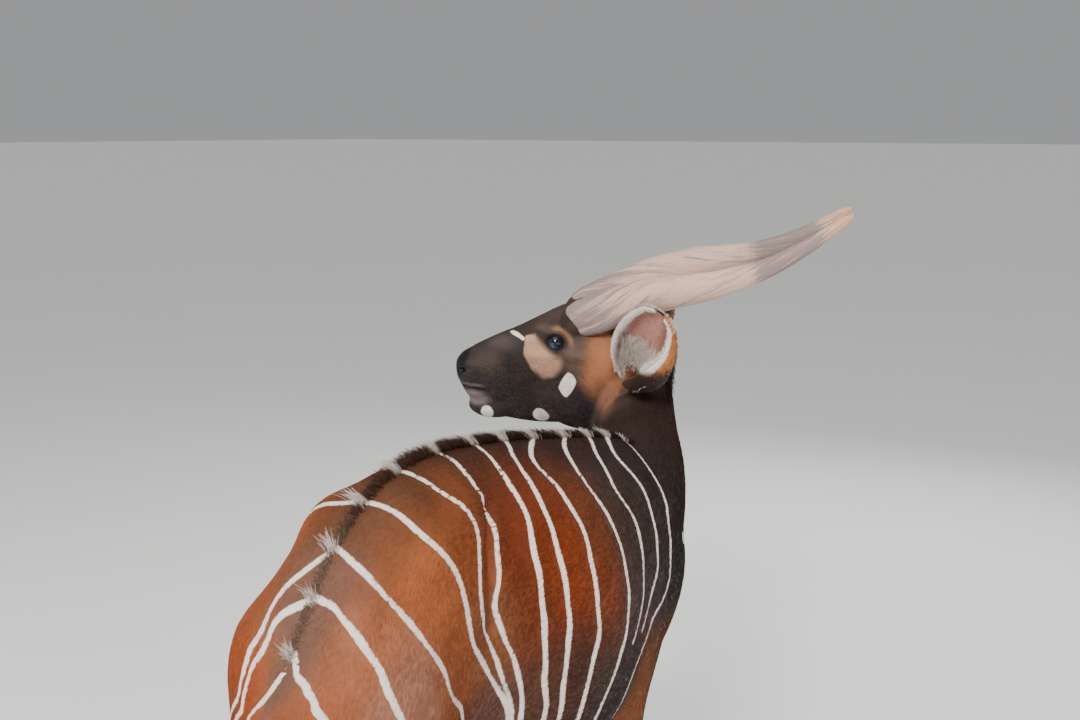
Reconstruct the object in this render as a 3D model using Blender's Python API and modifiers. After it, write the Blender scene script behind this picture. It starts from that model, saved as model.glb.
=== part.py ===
"""Life-size still model of an adult bongo antelope that turns its head back over its left side.

Units are metres, +Z is up, and the trunk runs along Y with the chest towards -Y, so the animal's
right side faces -X. The flesh is lofted from sections, fused, smoothed and then parted by thin
cuts, so that head, neck, torso, tail and legs are separate solids that meet face to face.
"""

import math

import bmesh
import bpy
import numpy as np
from mathutils import Matrix, Vector

# Driving sizes
GAP = 0.0003                 # clearance between parts that touch

# Trunk sections from the buttocks to the breast. Each row holds the place along Y, the centre
# line's X, the heights of the back, the belly and the widest level, the half width, and how
# square the upper and the lower half are (2 is an ellipse).
TRUNK = (
    (0.800, -0.068, 0.960, 0.850, 0.905, 0.045, 2.0, 2.0),
    (0.772, -0.062, 1.005, 0.800, 0.905, 0.095, 2.0, 2.0),
    (0.725, -0.050, 1.052, 0.760, 0.905, 0.135, 2.0, 2.0),
    (0.660, -0.031, 1.128, 0.720, 0.925, 0.165, 2.0, 2.0),
    (0.590, -0.015, 1.192, 0.690, 0.960, 0.182, 2.0, 2.0),
    (0.500, 0.002, 1.250, 0.672, 0.990, 0.186, 2.0, 2.0),
    (0.400, 0.014, 1.285, 0.646, 0.985, 0.190, 2.0, 2.1),
    (0.290, 0.021, 1.296, 0.618, 0.950, 0.210, 2.0, 2.2),
    (0.170, 0.018, 1.290, 0.598, 0.925, 0.244, 2.0, 2.2),
    (0.060, 0.008, 1.280, 0.588, 0.915, 0.262, 2.0, 2.2),
    (-0.050, -0.006, 1.266, 0.592, 0.915, 0.252, 1.95, 2.2),
    (-0.160, -0.027, 1.252, 0.622, 0.920, 0.208, 1.8, 2.1),
    (-0.250, -0.044, 1.235, 0.672, 0.935, 0.172, 1.75, 2.0),
    (-0.330, -0.060, 1.165, 0.735, 0.945, 0.132, 1.9, 2.0),
    (-0.385, -0.072, 1.075, 0.800, 0.945, 0.086, 2.0, 2.0),
    (-0.415, -0.078, 0.990, 0.885, 0.940, 0.035, 2.0, 2.0),
)

# Neck sections from inside the breast to inside the head: centre, half width, reach towards the
# nape and towards the throat, and the direction in which the nape faces.
NECK = (
    (-0.045, -0.200, 0.990, 0.140, 0.190, 0.200, 0.00, 0.45, 0.90),
    (-0.045, -0.300, 1.050, 0.125, 0.165, 0.170, -0.10, 0.60, 0.80),
    (-0.015, -0.385, 1.120, 0.108, 0.140, 0.140, -0.35, 0.70, 0.60),
    (0.035, -0.445, 1.190, 0.098, 0.120, 0.125, -0.70, 0.60, 0.35),
    (0.068, -0.480, 1.260, 0.090, 0.105, 0.115, -0.90, 0.10, 0.15),
    (0.083, -0.488, 1.330, 0.082, 0.098, 0.108, -0.90, -0.40, 0.10),
    (0.100, -0.485, 1.400, 0.070, 0.085, 0.090, -0.87, -0.48, 0.10),
)
NECK_CUT_POINT = Vector((-0.040, -0.360, 1.110))
NECK_CUT_NORMAL = Vector((0.10, -0.85, 0.50)).normalized()

# The head's own frame: its origin is the poll, +X runs along the palate to the nose, +Y to the
# animal's left.
POLL = Vector((0.0376, -0.4781, 1.4868))
HEAD_HEADING = math.radians(29.5)    # turn of the muzzle away from +X towards +Y
HEAD_PITCH = math.radians(-4.5)      # muzzle raised above the level
HEAD_ROLL = math.radians(-10.2)      # crown tipped towards the left side
HEAD_CUT_POINT = Vector((0.000, 0.0, -0.187))
HEAD_CUT_NORMAL = Vector((0.832, 0.0, 0.555)).normalized()

# Head sections from the nape to the nose: place along the head, heights of the top, the bottom
# and the widest level, half width, squareness of the upper and the lower half.
HEAD = (
    (-0.080, -0.075, -0.200, -0.130, 0.056, 2.0, 2.0),
    (-0.050, -0.030, -0.240, -0.130, 0.070, 2.0, 2.0),
    (0.000, -0.006, -0.262, -0.125, 0.077, 2.1, 1.9),
    (0.050, 0.004, -0.280, -0.125, 0.079, 2.2, 2.0),
    (0.100, 0.006, -0.292, -0.125, 0.078, 2.3, 2.0),
    (0.150, 0.004, -0.307, -0.120, 0.076, 2.3, 1.9),
    (0.200, -0.016, -0.316, -0.115, 0.070, 2.3, 1.75),
    (0.250, -0.046, -0.319, -0.128, 0.060, 2.2, 1.7),
    (0.300, -0.076, -0.317, -0.145, 0.052, 2.1, 1.7),
    (0.340, -0.097, -0.312, -0.165, 0.049, 2.1, 1.8),
    (0.380, -0.120, -0.300, -0.185, 0.046, 2.1, 1.9),
    (0.410, -0.139, -0.268, -0.190, 0.041, 2.0, 2.0),
    (0.435, -0.158, -0.228, -0.188, 0.028, 2.0, 2.0),
    (0.446, -0.172, -0.205, -0.187, 0.012, 2.0, 2.0),
)

# Masses that fill out the head on each side: centre, radii and turns about the three axes.
HEAD_MASSES = (
    ((0.196, 0.045, -0.080), (0.040, 0.027, 0.030), (0, 0, -6)),      # ring of the eye
    ((0.125, 0.018, -0.195), (0.150, 0.060, 0.122), (0, -12, 0)),     # cheek
    ((0.140, 0.058, -0.125), (0.085, 0.017, 0.016), (0, 12, -4)),     # cheek bone
    ((0.398, 0.020, -0.196), (0.044, 0.026, 0.044), (0, 30, 0)),      # upper lip
    ((0.345, 0.008, -0.280), (0.066, 0.030, 0.036), (0, 6, 0)),       # chin
    ((0.118, 0.046, -0.022), (0.056, 0.040, 0.044), (0, -20, 0)),     # root of the horn
    ((0.012, 0.052, -0.140), (0.036, 0.030, 0.040), (0, 0, 0)),       # root of the ear
)

EYE_CENTRE = Vector((0.196, 0.0570, -0.084))
EYE_RADIUS = 0.0205
LID_RADIUS = 0.0195                  # from the middle of the eye's opening to the lid's middle
LID_THICKNESS = 0.0052

# Horn line of the left side in the head's frame, with the half height and half width of its
# section and the turn of its keel in degrees.
HORN = (
    (0.150, 0.038, -0.044, 0.030, 0.024, 20),
    (0.122, 0.050, -0.010, 0.045, 0.037, 30),
    (0.075, 0.066, 0.018, 0.048, 0.039, 50),
    (-0.005, 0.086, 0.054, 0.045, 0.034, 90),
    (-0.083, 0.103, 0.083, 0.039, 0.029, 135),
    (-0.172, 0.108, 0.110, 0.029, 0.024, 180),
    (-0.258, 0.088, 0.143, 0.024, 0.020, 220),
    (-0.340, 0.062, 0.190, 0.019, 0.016, 255),
    (-0.402, 0.045, 0.237, 0.014, 0.012, 280),
    (-0.438, 0.036, 0.267, 0.009, 0.008, 290),
    (-0.450, 0.033, 0.277, 0.003, 0.003, 295),
)

# Ear of the left side in the head's frame: root, bend, tip, the way the cup faces, and sections of
# place along it, half width and half depth.
EAR_ROOT = Vector((0.020, 0.056, -0.156))
EAR_KNEE = Vector((0.004, 0.128, -0.112))
EAR_TIP = Vector((-0.036, 0.178, 0.050))
EAR_FACES = Vector((0.42, 0.88, 0.05))
EAR = (
    (0.00, 0.020, 0.020),
    (0.12, 0.030, 0.026),
    (0.28, 0.050, 0.031),
    (0.45, 0.066, 0.033),
    (0.62, 0.072, 0.030),
    (0.78, 0.066, 0.023),
    (0.90, 0.048, 0.014),
    (0.97, 0.026, 0.008),
    (1.00, 0.004, 0.003),
)

# Legs: place ahead of the leg's line, height, half width, reach forwards and backwards.
FORELEG = (
    (0.000, 1.000, 0.020, 0.030, 0.030),
    (0.000, 0.970, 0.052, 0.075, 0.075),
    (0.000, 0.900, 0.074, 0.105, 0.105),
    (0.005, 0.780, 0.068, 0.092, 0.100),
    (0.000, 0.690, 0.057, 0.068, 0.082),
    (0.000, 0.600, 0.046, 0.051, 0.056),
    (0.004, 0.490, 0.037, 0.040, 0.040),
    (0.008, 0.405, 0.034, 0.036, 0.035),
    (0.010, 0.360, 0.036, 0.038, 0.034),
    (0.006, 0.310, 0.027, 0.027, 0.029),
    (0.003, 0.230, 0.022, 0.022, 0.025),
    (0.002, 0.155, 0.024, 0.023, 0.027),
    (0.004, 0.118, 0.030, 0.028, 0.034),
    (0.016, 0.084, 0.027, 0.025, 0.027),
    (0.028, 0.056, 0.032, 0.032, 0.032),
    (0.034, 0.036, 0.033, 0.034, 0.033),
)
HINDLEG = (
    (0.000, 1.110, 0.025, 0.040, 0.040),
    (0.000, 1.070, 0.062, 0.100, 0.095),
    (0.008, 0.980, 0.090, 0.150, 0.140),
    (0.022, 0.860, 0.090, 0.150, 0.142),
    (0.040, 0.730, 0.070, 0.115, 0.110),
    (0.012, 0.640, 0.054, 0.078, 0.076),
    (-0.036, 0.560, 0.041, 0.050, 0.054),
    (-0.068, 0.500, 0.034, 0.037, 0.046),
    (-0.075, 0.450, 0.034, 0.036, 0.042),
    (-0.068, 0.390, 0.029, 0.030, 0.034),
    (-0.052, 0.290, 0.024, 0.024, 0.027),
    (-0.036, 0.180, 0.025, 0.024, 0.028),
    (-0.026, 0.122, 0.031, 0.029, 0.036),
    (-0.010, 0.086, 0.027, 0.025, 0.028),
    (0.006, 0.056, 0.032, 0.032, 0.032),
    (0.012, 0.036, 0.033, 0.034, 0.033),
)
# Each leg: its sections, the way ahead in plan, its line's place at the top and at the floor.
LEGS = {
    "leg_front_right": (FORELEG, (-0.24, -0.971), (-0.138, -0.140), (-0.146, -0.100)),
    "leg_front_left": (FORELEG, (-0.24, -0.971), (0.066, -0.215), (0.074, -0.210)),
    "leg_hind_right": (HINDLEG, (0.22, -0.975), (-0.128, 0.570), (-0.142, 0.650)),
    "leg_hind_left": (HINDLEG, (0.22, -0.975), (0.084, 0.620), (0.114, 0.590)),
}
LEG_TOP_HEIGHT = 0.95
LEG_SPLITS = {"front": (0.583, 0.330), "hind": (0.622, 0.385)}
CORONET = 0.056
HOOF_LENGTH = 0.104
HOOF_WIDTH = 0.072
HOOF_CLEFT = 0.0035

# Masses that fill out the body: centre, radii and turns about the three axes.
BODY_MASSES = (
    ((-0.142, -0.180, 0.930), (0.062, 0.125, 0.210), (14, 0, -14)),   # right shoulder
    ((0.076, -0.240, 0.930), (0.062, 0.125, 0.210), (14, 0, -14)),    # left shoulder
    ((-0.098, 0.560, 0.940), (0.088, 0.170, 0.215), (-12, 0, 13)),    # right haunch
    ((0.056, 0.595, 0.940), (0.078, 0.160, 0.215), (-12, 0, 13)),     # left haunch
    ((-0.088, 0.430, 1.130), (0.072, 0.120, 0.082), (0, 25, 10)),     # right hip
    ((0.104, 0.465, 1.125), (0.072, 0.120, 0.082), (0, -25, 10)),     # left hip
    ((-0.065, -0.350, 0.920), (0.080, 0.070, 0.110), (0, 0, -14)),    # breast
    ((-0.058, 0.735, 0.965), (0.050, 0.050, 0.060), (0, 0, 0)),       # root of the tail
)

# Line of the back that carries the crest, from the withers to the croup.
BACK_LINE = (
    (-0.053, -0.263, 1.236),
    (-0.041, -0.212, 1.241),
    (-0.015, -0.090, 1.254),
    (0.011, 0.085, 1.276),
    (0.021, 0.280, 1.290),
    (0.014, 0.396, 1.280),
    (0.002, 0.497, 1.245),
    (-0.015, 0.591, 1.184),
    (-0.031, 0.658, 1.119),
    (-0.044, 0.705, 1.055),
)
CREST_LOCKS = 44
CREST_FRONT_HEIGHT = 0.052
CREST_REAR_HEIGHT = 0.026
MANE_LOCKS = 12

# Tail from its root to the end of the tuft: centre and radius.
TAIL = (
    (-0.058, 0.730, 0.985, 0.036),
    (-0.062, 0.782, 0.968, 0.034),
    (-0.066, 0.824, 0.920, 0.029),
    (-0.068, 0.842, 0.850, 0.025),
    (-0.068, 0.846, 0.760, 0.021),
    (-0.067, 0.844, 0.660, 0.017),
    (-0.066, 0.842, 0.560, 0.013),
    (-0.065, 0.841, 0.520, 0.010),
)
TUFT_LOCKS = 12

BODY_VOXEL = 0.0075
HEAD_VOXEL = 0.0036
BODY_FACES = 4900
HEAD_FACES = 2000


def interpolated(knots, values, at):
    """Cubic Hermite curve through the rows of values, with slopes from the neighbouring rows."""
    knots = np.asarray(knots, float)
    values = np.asarray(values, float)
    slopes = np.gradient(values, knots, axis=0)
    low = np.clip(np.searchsorted(knots, at, side="right") - 1, 0, len(knots) - 2)
    step = (knots[low + 1] - knots[low])[:, None]
    t = ((at - knots[low]) / step[:, 0])[:, None]
    start = (1 + 2 * t) * (1 - t) ** 2 * values[low] + t * (1 - t) ** 2 * step * slopes[low]
    end = t * t * (3 - 2 * t) * values[low + 1] + t * t * (t - 1) * step * slopes[low + 1]
    return start + end


def sections(rows, count):
    """Rows sampled evenly by their running length along the first three columns."""
    rows = np.asarray(rows, float)
    lengths = np.linalg.norm(np.diff(rows[:, :3], axis=0), axis=1)
    knots = np.concatenate([[0.0], np.cumsum(lengths)])
    return interpolated(knots, rows, np.linspace(0, knots[-1], count))


def unit(vectors):
    return vectors / np.linalg.norm(vectors, axis=-1, keepdims=True)


def rings(centres, sides, ups, widths, tops, bottoms, square_top, square_low, around):
    """Superellipse rings: half width to each side, one reach above and another below."""
    angle = np.linspace(0, 2 * np.pi, around, endpoint=False)
    sine = np.sin(angle)[None, :]
    cosine = np.cos(angle)[None, :]
    power = np.where(cosine >= 0, 2 / square_top[:, None], 2 / square_low[:, None])
    reach = np.where(cosine >= 0, tops[:, None], bottoms[:, None])
    across = widths[:, None] * np.sign(sine) * np.abs(sine) ** power
    along = reach * np.sign(cosine) * np.abs(cosine) ** power
    return (
        centres[:, None, :]
        + across[..., None] * sides[:, None, :]
        + along[..., None] * ups[:, None, :]
    )


def closed_grid(points):
    """Vertices and faces of a tube of rings, with a fan on a centre point at each end."""
    count, around = points.shape[:2]
    verts = np.concatenate([points.reshape(-1, 3), points[:1].mean(1), points[-1:].mean(1)])
    faces = []
    for i in range(count - 1):
        for j in range(around):
            k = (j + 1) % around
            faces.append((i * around + j, i * around + k, (i + 1) * around + k, (i + 1) * around + j))
    first, last = count * around, count * around + 1
    for j in range(around):
        k = (j + 1) % around
        faces.append((first, k, j))
        faces.append((last, (count - 1) * around + j, (count - 1) * around + k))
    return verts, faces


def along_path(rows, count, around):
    """A tube along a path: rows of centre, half width, reach to the nape and to the throat, nape."""
    table = sections(rows, count)
    centres = table[:, :3]
    ahead = unit(np.gradient(centres, axis=0))
    ups = table[:, 6:9]
    ups = unit(ups - ahead * np.sum(ups * ahead, axis=1, keepdims=True))
    sides = np.cross(ups, ahead)
    oval = np.full(count, 2.0)
    return closed_grid(
        rings(centres, sides, ups, table[:, 3], table[:, 4], table[:, 5], oval, oval, around)
    )


def trunk_piece(count=44, around=40):
    """The trunk: upright rings along the curved line of the back."""
    rows = np.asarray(TRUNK, float)
    at = np.linspace(rows[0, 0], rows[-1, 0], count)
    table = interpolated(-rows[:, 0], rows, -at)
    centres = np.stack([table[:, 1], table[:, 0], table[:, 4]], 1)
    heading = np.gradient(centres, axis=0)
    heading[:, 2] = 0
    heading = unit(heading)
    ups = np.tile([0.0, 0.0, 1.0], (count, 1))
    sides = np.cross(ups, heading)
    return closed_grid(
        rings(centres, sides, ups, table[:, 5], table[:, 2] - table[:, 4],
              table[:, 4] - table[:, 3], table[:, 6], table[:, 7], around)
    )


def head_frame():
    """The matrix that takes the head's own frame into the animal's."""
    turn = Matrix.Rotation(HEAD_HEADING, 4, "Z")
    pitch = Matrix.Rotation(HEAD_PITCH, 4, "Y")
    roll = Matrix.Rotation(HEAD_ROLL, 4, "X")
    return Matrix.Translation(POLL) @ turn @ pitch @ roll


def head_piece(count=40, around=40):
    """The head: upright rings from the nape to the nose, in the head's own frame."""
    rows = np.asarray(HEAD, float)
    at = np.linspace(rows[0, 0], rows[-1, 0], count)
    table = interpolated(rows[:, 0], rows, at)
    centres = np.stack([at, np.zeros(count), table[:, 3]], 1)
    ups = np.tile([0.0, 0.0, 1.0], (count, 1))
    sides = np.tile([0.0, 1.0, 0.0], (count, 1))
    return closed_grid(
        rings(centres, sides, ups, table[:, 4], table[:, 1] - table[:, 3],
              table[:, 3] - table[:, 2], table[:, 5], table[:, 6], around)
    )


def leg_piece(rows, ahead, top, foot, count=30, around=24):
    """A leg: level rings down a line from the trunk to the hoof."""
    rows = np.asarray(rows, float)
    at = np.linspace(rows[0, 1], rows[-1, 1], count)
    table = interpolated(-rows[:, 1], rows, -at)
    ahead = np.array([ahead[0], ahead[1], 0.0])
    side = np.array([-ahead[1], ahead[0], 0.0])
    share = (table[:, 1] / LEG_TOP_HEIGHT)[:, None]
    plan = np.array(foot) * (1 - share) + np.array(top) * share
    centres = np.concatenate([plan, table[:, 1:2]], 1) + table[:, :1] * ahead
    oval = np.full(count, 2.0)
    return closed_grid(
        rings(centres, np.tile(side, (count, 1)), np.tile(ahead, (count, 1)),
              table[:, 2], table[:, 3], table[:, 4], oval, oval, around)
    )


def leg_point(rows, ahead, top, foot, height):
    """The middle of a leg at a height."""
    rows = np.asarray(rows, float)
    row = interpolated(-rows[:, 1], rows, np.array([-height]))[0]
    share = height / LEG_TOP_HEIGHT
    plan = np.array(foot) * (1 - share) + np.array(top) * share + row[0] * np.array(ahead)
    return Vector((plan[0], plan[1], height))


def collection(name):
    made = bpy.data.collections.new(name)
    bpy.context.scene.collection.children.link(made)
    return made


def mesh_object(name, verts, faces, home, matrix=None):
    """An object of the given mesh, faces outward."""
    mesh = bpy.data.meshes.new(name)
    mesh.from_pydata([tuple(v) for v in verts], [], faces)
    if matrix is not None:
        mesh.transform(matrix)
    tidy = bmesh.new()
    tidy.from_mesh(mesh)
    bmesh.ops.recalc_face_normals(tidy, faces=tidy.faces)
    tidy.to_mesh(mesh)
    tidy.free()
    made = bpy.data.objects.new(name, mesh)
    home.objects.link(made)
    return made


def shape(name, kind, home, matrix, **sizes):
    """A primitive of the mesh operators, placed by a matrix."""
    if kind == "ball":
        work = bmesh.new()
        bmesh.ops.create_uvsphere(work, u_segments=sizes.get("u", 20), v_segments=sizes.get("v", 12), radius=1)
        mesh = bpy.data.meshes.new(name)
        work.to_mesh(mesh)
        work.free()
        mesh.transform(matrix)
    elif kind == "box":
        work = bmesh.new()
        bmesh.ops.create_cube(work, size=1)
        mesh = bpy.data.meshes.new(name)
        work.to_mesh(mesh)
        work.free()
        mesh.transform(matrix)
    else:
        bpy.ops.mesh.primitive_torus_add(
            major_segments=sizes["u"], minor_segments=sizes["v"],
            major_radius=sizes["major"], minor_radius=sizes["minor"])
        ring = bpy.context.object
        mesh = ring.data
        mesh.transform(matrix)
        bpy.data.objects.remove(ring)
    if matrix.to_3x3().determinant() < 0:
        mesh.flip_normals()
    made = bpy.data.objects.new(name, mesh)
    home.objects.link(made)
    return made


def placed(centre, radii, turns=(0, 0, 0)):
    """A matrix of a place, turns in degrees about the axes and radii."""
    turn = Matrix.Rotation(math.radians(turns[2]), 4, "Z") @ Matrix.Rotation(
        math.radians(turns[1]), 4, "Y") @ Matrix.Rotation(math.radians(turns[0]), 4, "X")
    return Matrix.Translation(Vector(centre)) @ turn @ Matrix.Diagonal((*radii, 1))


def facing(point, normal):
    """A matrix whose +Z is the normal at the point."""
    return Matrix.Translation(point) @ Vector(normal).to_track_quat("Z", "Y").to_matrix().to_4x4()


MIRROR = Matrix.Diagonal((1, -1, 1, 1))


def baked(obj, mods):
    """The object's mesh replaced by the result of a run of modifiers."""
    for kind, settings in mods:
        mod = obj.modifiers.new(kind.title(), kind)
        for key, value in settings.items():
            setattr(mod, key, value)
    graph = bpy.context.evaluated_depsgraph_get()
    result = bpy.data.meshes.new_from_object(obj.evaluated_get(graph))
    obj.modifiers.clear()
    old = obj.data
    obj.data = result
    bpy.data.meshes.remove(old)
    return obj


def joined(name, pieces, home):
    """One object out of several, their surfaces kept as they are."""
    work = bmesh.new()
    for piece in pieces:
        work.from_mesh(piece.data)
    mesh = bpy.data.meshes.new(name)
    work.to_mesh(mesh)
    work.free()
    for piece in pieces:
        bpy.data.objects.remove(piece)
    made = bpy.data.objects.new(name, mesh)
    home.objects.link(made)
    return made


def fused(name, pieces, home, voxel, faces, smooth, softer):
    """One smooth closed skin over the pieces, brought down to a number of triangles.

    The softer call gives each point's weight for a second, longer smoothing.
    """
    made = joined(name, pieces, home)
    baked(made, [("REMESH", {"mode": "VOXEL", "voxel_size": voxel})])
    count = len(made.data.vertices)
    spots = np.empty(count * 3)
    made.data.vertices.foreach_get("co", spots)
    weights = softer(spots.reshape(-1, 3))
    group = made.vertex_groups.new(name="soft")
    for level in range(1, 11):
        chosen = np.nonzero(np.rint(weights * 10).astype(int) == level)[0]
        group.add(chosen.tolist(), level / 10, "REPLACE")
    baked(made, [
        ("SMOOTH", {"factor": 0.5, "iterations": smooth}),
        ("SMOOTH", {"factor": 0.5, "iterations": 30, "vertex_group": "soft"}),
        ("TRIANGULATE", {}),
    ])
    made.vertex_groups.clear()
    ratio = faces / len(made.data.polygons)
    return baked(made, [("DECIMATE", {"ratio": ratio})])


def carved(obj, cutter, operation="DIFFERENCE", solver="EXACT"):
    return baked(obj, [
        ("BOOLEAN", {"operation": operation, "solver": solver, "object": cutter}),
    ])


def islands(obj):
    """Vertex index lists of the loose parts, largest first."""
    work = bmesh.new()
    work.from_mesh(obj.data)
    work.verts.ensure_lookup_table()
    seen = set()
    groups = []
    for vert in work.verts:
        if vert.index in seen:
            continue
        stack = [vert]
        seen.add(vert.index)
        group = []
        while stack:
            at = stack.pop()
            group.append(at.index)
            for edge in at.link_edges:
                other = edge.other_vert(at)
                if other.index not in seen:
                    seen.add(other.index)
                    stack.append(other)
        groups.append(group)
    work.free()
    return sorted(groups, key=len, reverse=True)


def taken(obj, name, group, home):
    """A copy of one loose part of the object."""
    keep = set(group)
    work = bmesh.new()
    work.from_mesh(obj.data)
    work.verts.ensure_lookup_table()
    bmesh.ops.delete(work, geom=[v for v in work.verts if v.index not in keep], context="VERTS")
    mesh = bpy.data.meshes.new(name)
    work.to_mesh(mesh)
    work.free()
    made = bpy.data.objects.new(name, mesh)
    home.objects.link(made)
    return made


def swollen(obj, name, home, by):
    """A copy of the object with its surface moved out along its normals."""
    made = obj.copy()
    made.data = obj.data.copy()
    made.name = name
    home.objects.link(made)
    return baked(made, [("DISPLACE", {"strength": by, "mid_level": 0.0})])


def lock(name, home, root, up, back, length, width, thick, bend):
    """A flat tapered lock of hair that leans and bends along the lie."""
    up = Vector(up).normalized()
    back = (Vector(back) - up * Vector(back).dot(up)).normalized()
    side = up.cross(back)
    verts = []
    for share, size in ((-0.35, 1.0), (0.15, 1.0), (0.6, 0.72)):
        middle = root + up * (length * share) + back * (bend * max(share, 0) ** 2)
        for turn in range(5):
            angle = 2 * math.pi * turn / 5
            verts.append(
                middle + back * (width * size * 0.5 * math.cos(angle))
                + side * (thick * size * 0.5 * math.sin(angle)))
    verts.append(root + up * length + back * bend)
    faces = [(4, 3, 2, 1, 0)]
    for ring in (0, 5):
        for turn in range(5):
            after = (turn + 1) % 5
            faces.append((ring + turn, ring + after, ring + 5 + after, ring + 5 + turn))
    for turn in range(5):
        faces.append((10 + turn, 10 + (turn + 1) % 5, 15))
    return mesh_object(name, verts, faces, home)


def material(name, colour, roughness):
    made = bpy.data.materials.new(name)
    made.use_nodes = True
    shader = made.node_tree.nodes["Principled BSDF"]
    shader.inputs["Base Color"].default_value = (*colour, 1)
    shader.inputs["Roughness"].default_value = roughness
    return made


def crest_locks(home):
    """Locks along the back and up the nape."""
    line = sections(BACK_LINE, CREST_LOCKS)
    ahead = unit(np.gradient(line[:, :3], axis=0))
    made = []
    for i in range(CREST_LOCKS):
        share = i / (CREST_LOCKS - 1)
        back = Vector(ahead[i])
        height = CREST_FRONT_HEIGHT + (CREST_REAR_HEIGHT - CREST_FRONT_HEIGHT) * share
        height *= 1.0 + 0.12 * math.sin(2.4 * i)
        up = Vector((0.05 * math.sin(1.7 * i), 0, 1)) + back * 0.35
        up = up - back * (up.dot(back) - 0.35)
        root = Vector(line[i, :3]) - Vector((0, 0, 0.012))
        made.append(lock(f"lock_{i}", home, root, up, back, height + 0.012, 0.042, 0.022, 0.55 * height))
    nape = sections(NECK, 60)
    tops = unit(nape[:, 6:9] - 0)
    for i in range(MANE_LOCKS):
        k = 22 + int(i * 30 / MANE_LOCKS)
        ahead_here = unit(nape[k + 1, :3] - nape[k - 1, :3])
        up = tops[k] - ahead_here * tops[k].dot(ahead_here)
        up = Vector(unit(up))
        root = Vector(nape[k, :3]) + up * (nape[k, 4] - 0.016)
        back = Vector(-ahead_here)
        height = 0.040
        made.append(lock(f"mane_{i}", home, root, up + back * 0.3, back, height, 0.032, 0.018, 0.5 * height))
    return made


def hoof(name, home, centre, ahead):
    """A cloven hoof with a flat sole, under the coronet."""
    ahead = np.array([ahead[0], ahead[1], 0.0])
    side = np.array([-ahead[1], ahead[0], 0.0])
    middle = np.array(centre)
    heights = np.array([CORONET, 0.045, 0.025, 0.008, 0.0])
    shift = np.array([0.0, 0.003, 0.010, 0.016, 0.018])
    half = np.array([0.031, 0.033, 0.035, 0.036, 0.0355])
    front = np.array([0.031, 0.038, 0.050, 0.058, 0.060]) * HOOF_LENGTH / 0.104
    rear = np.array([0.031, 0.033, 0.036, 0.040, 0.040])
    centres = middle[None, :] * [1, 1, 0] + heights[:, None] * [0, 0, 1] + shift[:, None] * ahead * 0.3
    square = np.array([2.0, 2.1, 2.2, 2.3, 2.3])
    grid = rings(centres, np.tile(side, (5, 1)), np.tile(ahead, (5, 1)), half * HOOF_WIDTH / 0.072,
                 front, rear, square * 0.85, square, 18)
    made = mesh_object(name, *closed_grid(grid), home)
    cleft = shape(name + "_cleft", "box", CUTTERS, Matrix.Translation(
        Vector((middle[0], middle[1], 0.0))) @ Matrix.Rotation(
        math.atan2(ahead[1], ahead[0]), 4, "Z") @ Matrix.Diagonal((0.3, HOOF_CLEFT, 0.080, 1)))
    return carved(made, cleft)


for old in list(bpy.data.objects):
    bpy.data.objects.remove(old, do_unlink=True)
PARTS = collection("bongo_antelope")
CUTTERS = collection("cutters")
HEAD_MATRIX = head_frame()

# Body: trunk, neck, legs and muscle masses fused, with the crest along the back.
rough = [
    mesh_object("trunk", *trunk_piece(), CUTTERS),
    mesh_object("neck_rough", *along_path(NECK, 30, 32), CUTTERS),
    mesh_object("head_rough", *head_piece(30, 28), CUTTERS, HEAD_MATRIX),
]
for leg_name, (rows, ahead, top, foot) in LEGS.items():
    rough.append(mesh_object(leg_name + "_rough", *leg_piece(rows, ahead, top, foot), CUTTERS))
    heel = leg_point(rows, ahead, top, foot, 0.108)
    for sign in (-1, 1):
        spot = heel + Vector((-ahead[0] * 0.036 - ahead[1] * 0.017 * sign,
                              -ahead[1] * 0.036 + ahead[0] * 0.017 * sign, 0))
        rough.append(shape("dewclaw", "ball", CUTTERS, placed(spot, (0.011, 0.013, 0.017)), u=12, v=8))
    if rows is HINDLEG:
        point = leg_point(rows, ahead, top, foot, 0.492)
        point -= Vector((ahead[0], ahead[1], 0)) * 0.044
        rough.append(shape("hock_point", "ball", CUTTERS, placed(point, (0.021, 0.024, 0.048)), u=12, v=8))
for centre, radii, turns in BODY_MASSES:
    rough.append(shape("mass", "ball", CUTTERS, placed(centre, radii, turns), u=28, v=18))
body = fused("body", rough, CUTTERS, BODY_VOXEL, BODY_FACES, 5,
             lambda p: np.clip((p[:, 2] - 0.58) / 0.15, 0, 1))

locks_home = bpy.data.collections.new("crest_locks")
CUTTERS.children.link(locks_home)
crest_locks(locks_home)
baked(body, [("BOOLEAN", {
    "operation": "UNION", "solver": "EXACT", "operand_type": "COLLECTION", "collection": locks_home})])

slabs = [shape("neck_slab", "box", CUTTERS, facing(
    NECK_CUT_POINT, NECK_CUT_NORMAL) @ Matrix.Diagonal((0.7, 0.7, GAP, 1)))]
for leg_name, (rows, ahead, top, foot) in LEGS.items():
    turn = Matrix.Rotation(math.atan2(ahead[1], ahead[0]), 4, "Z")
    for height in LEG_SPLITS["front" if "front" in leg_name else "hind"]:
        centre = leg_point(rows, ahead, top, foot, height)
        size = Matrix.Diagonal((0.205, 0.140, GAP, 1))
        slabs.append(shape("leg_slab", "box", CUTTERS, Matrix.Translation(centre) @ turn @ size))
slabs.append(shape("floor_block", "box", CUTTERS, placed((0, 0.2, CORONET + GAP - 0.25), (1.2, 1.6, 0.5))))
body = carved(body, joined("slabs", slabs, CUTTERS))

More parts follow.
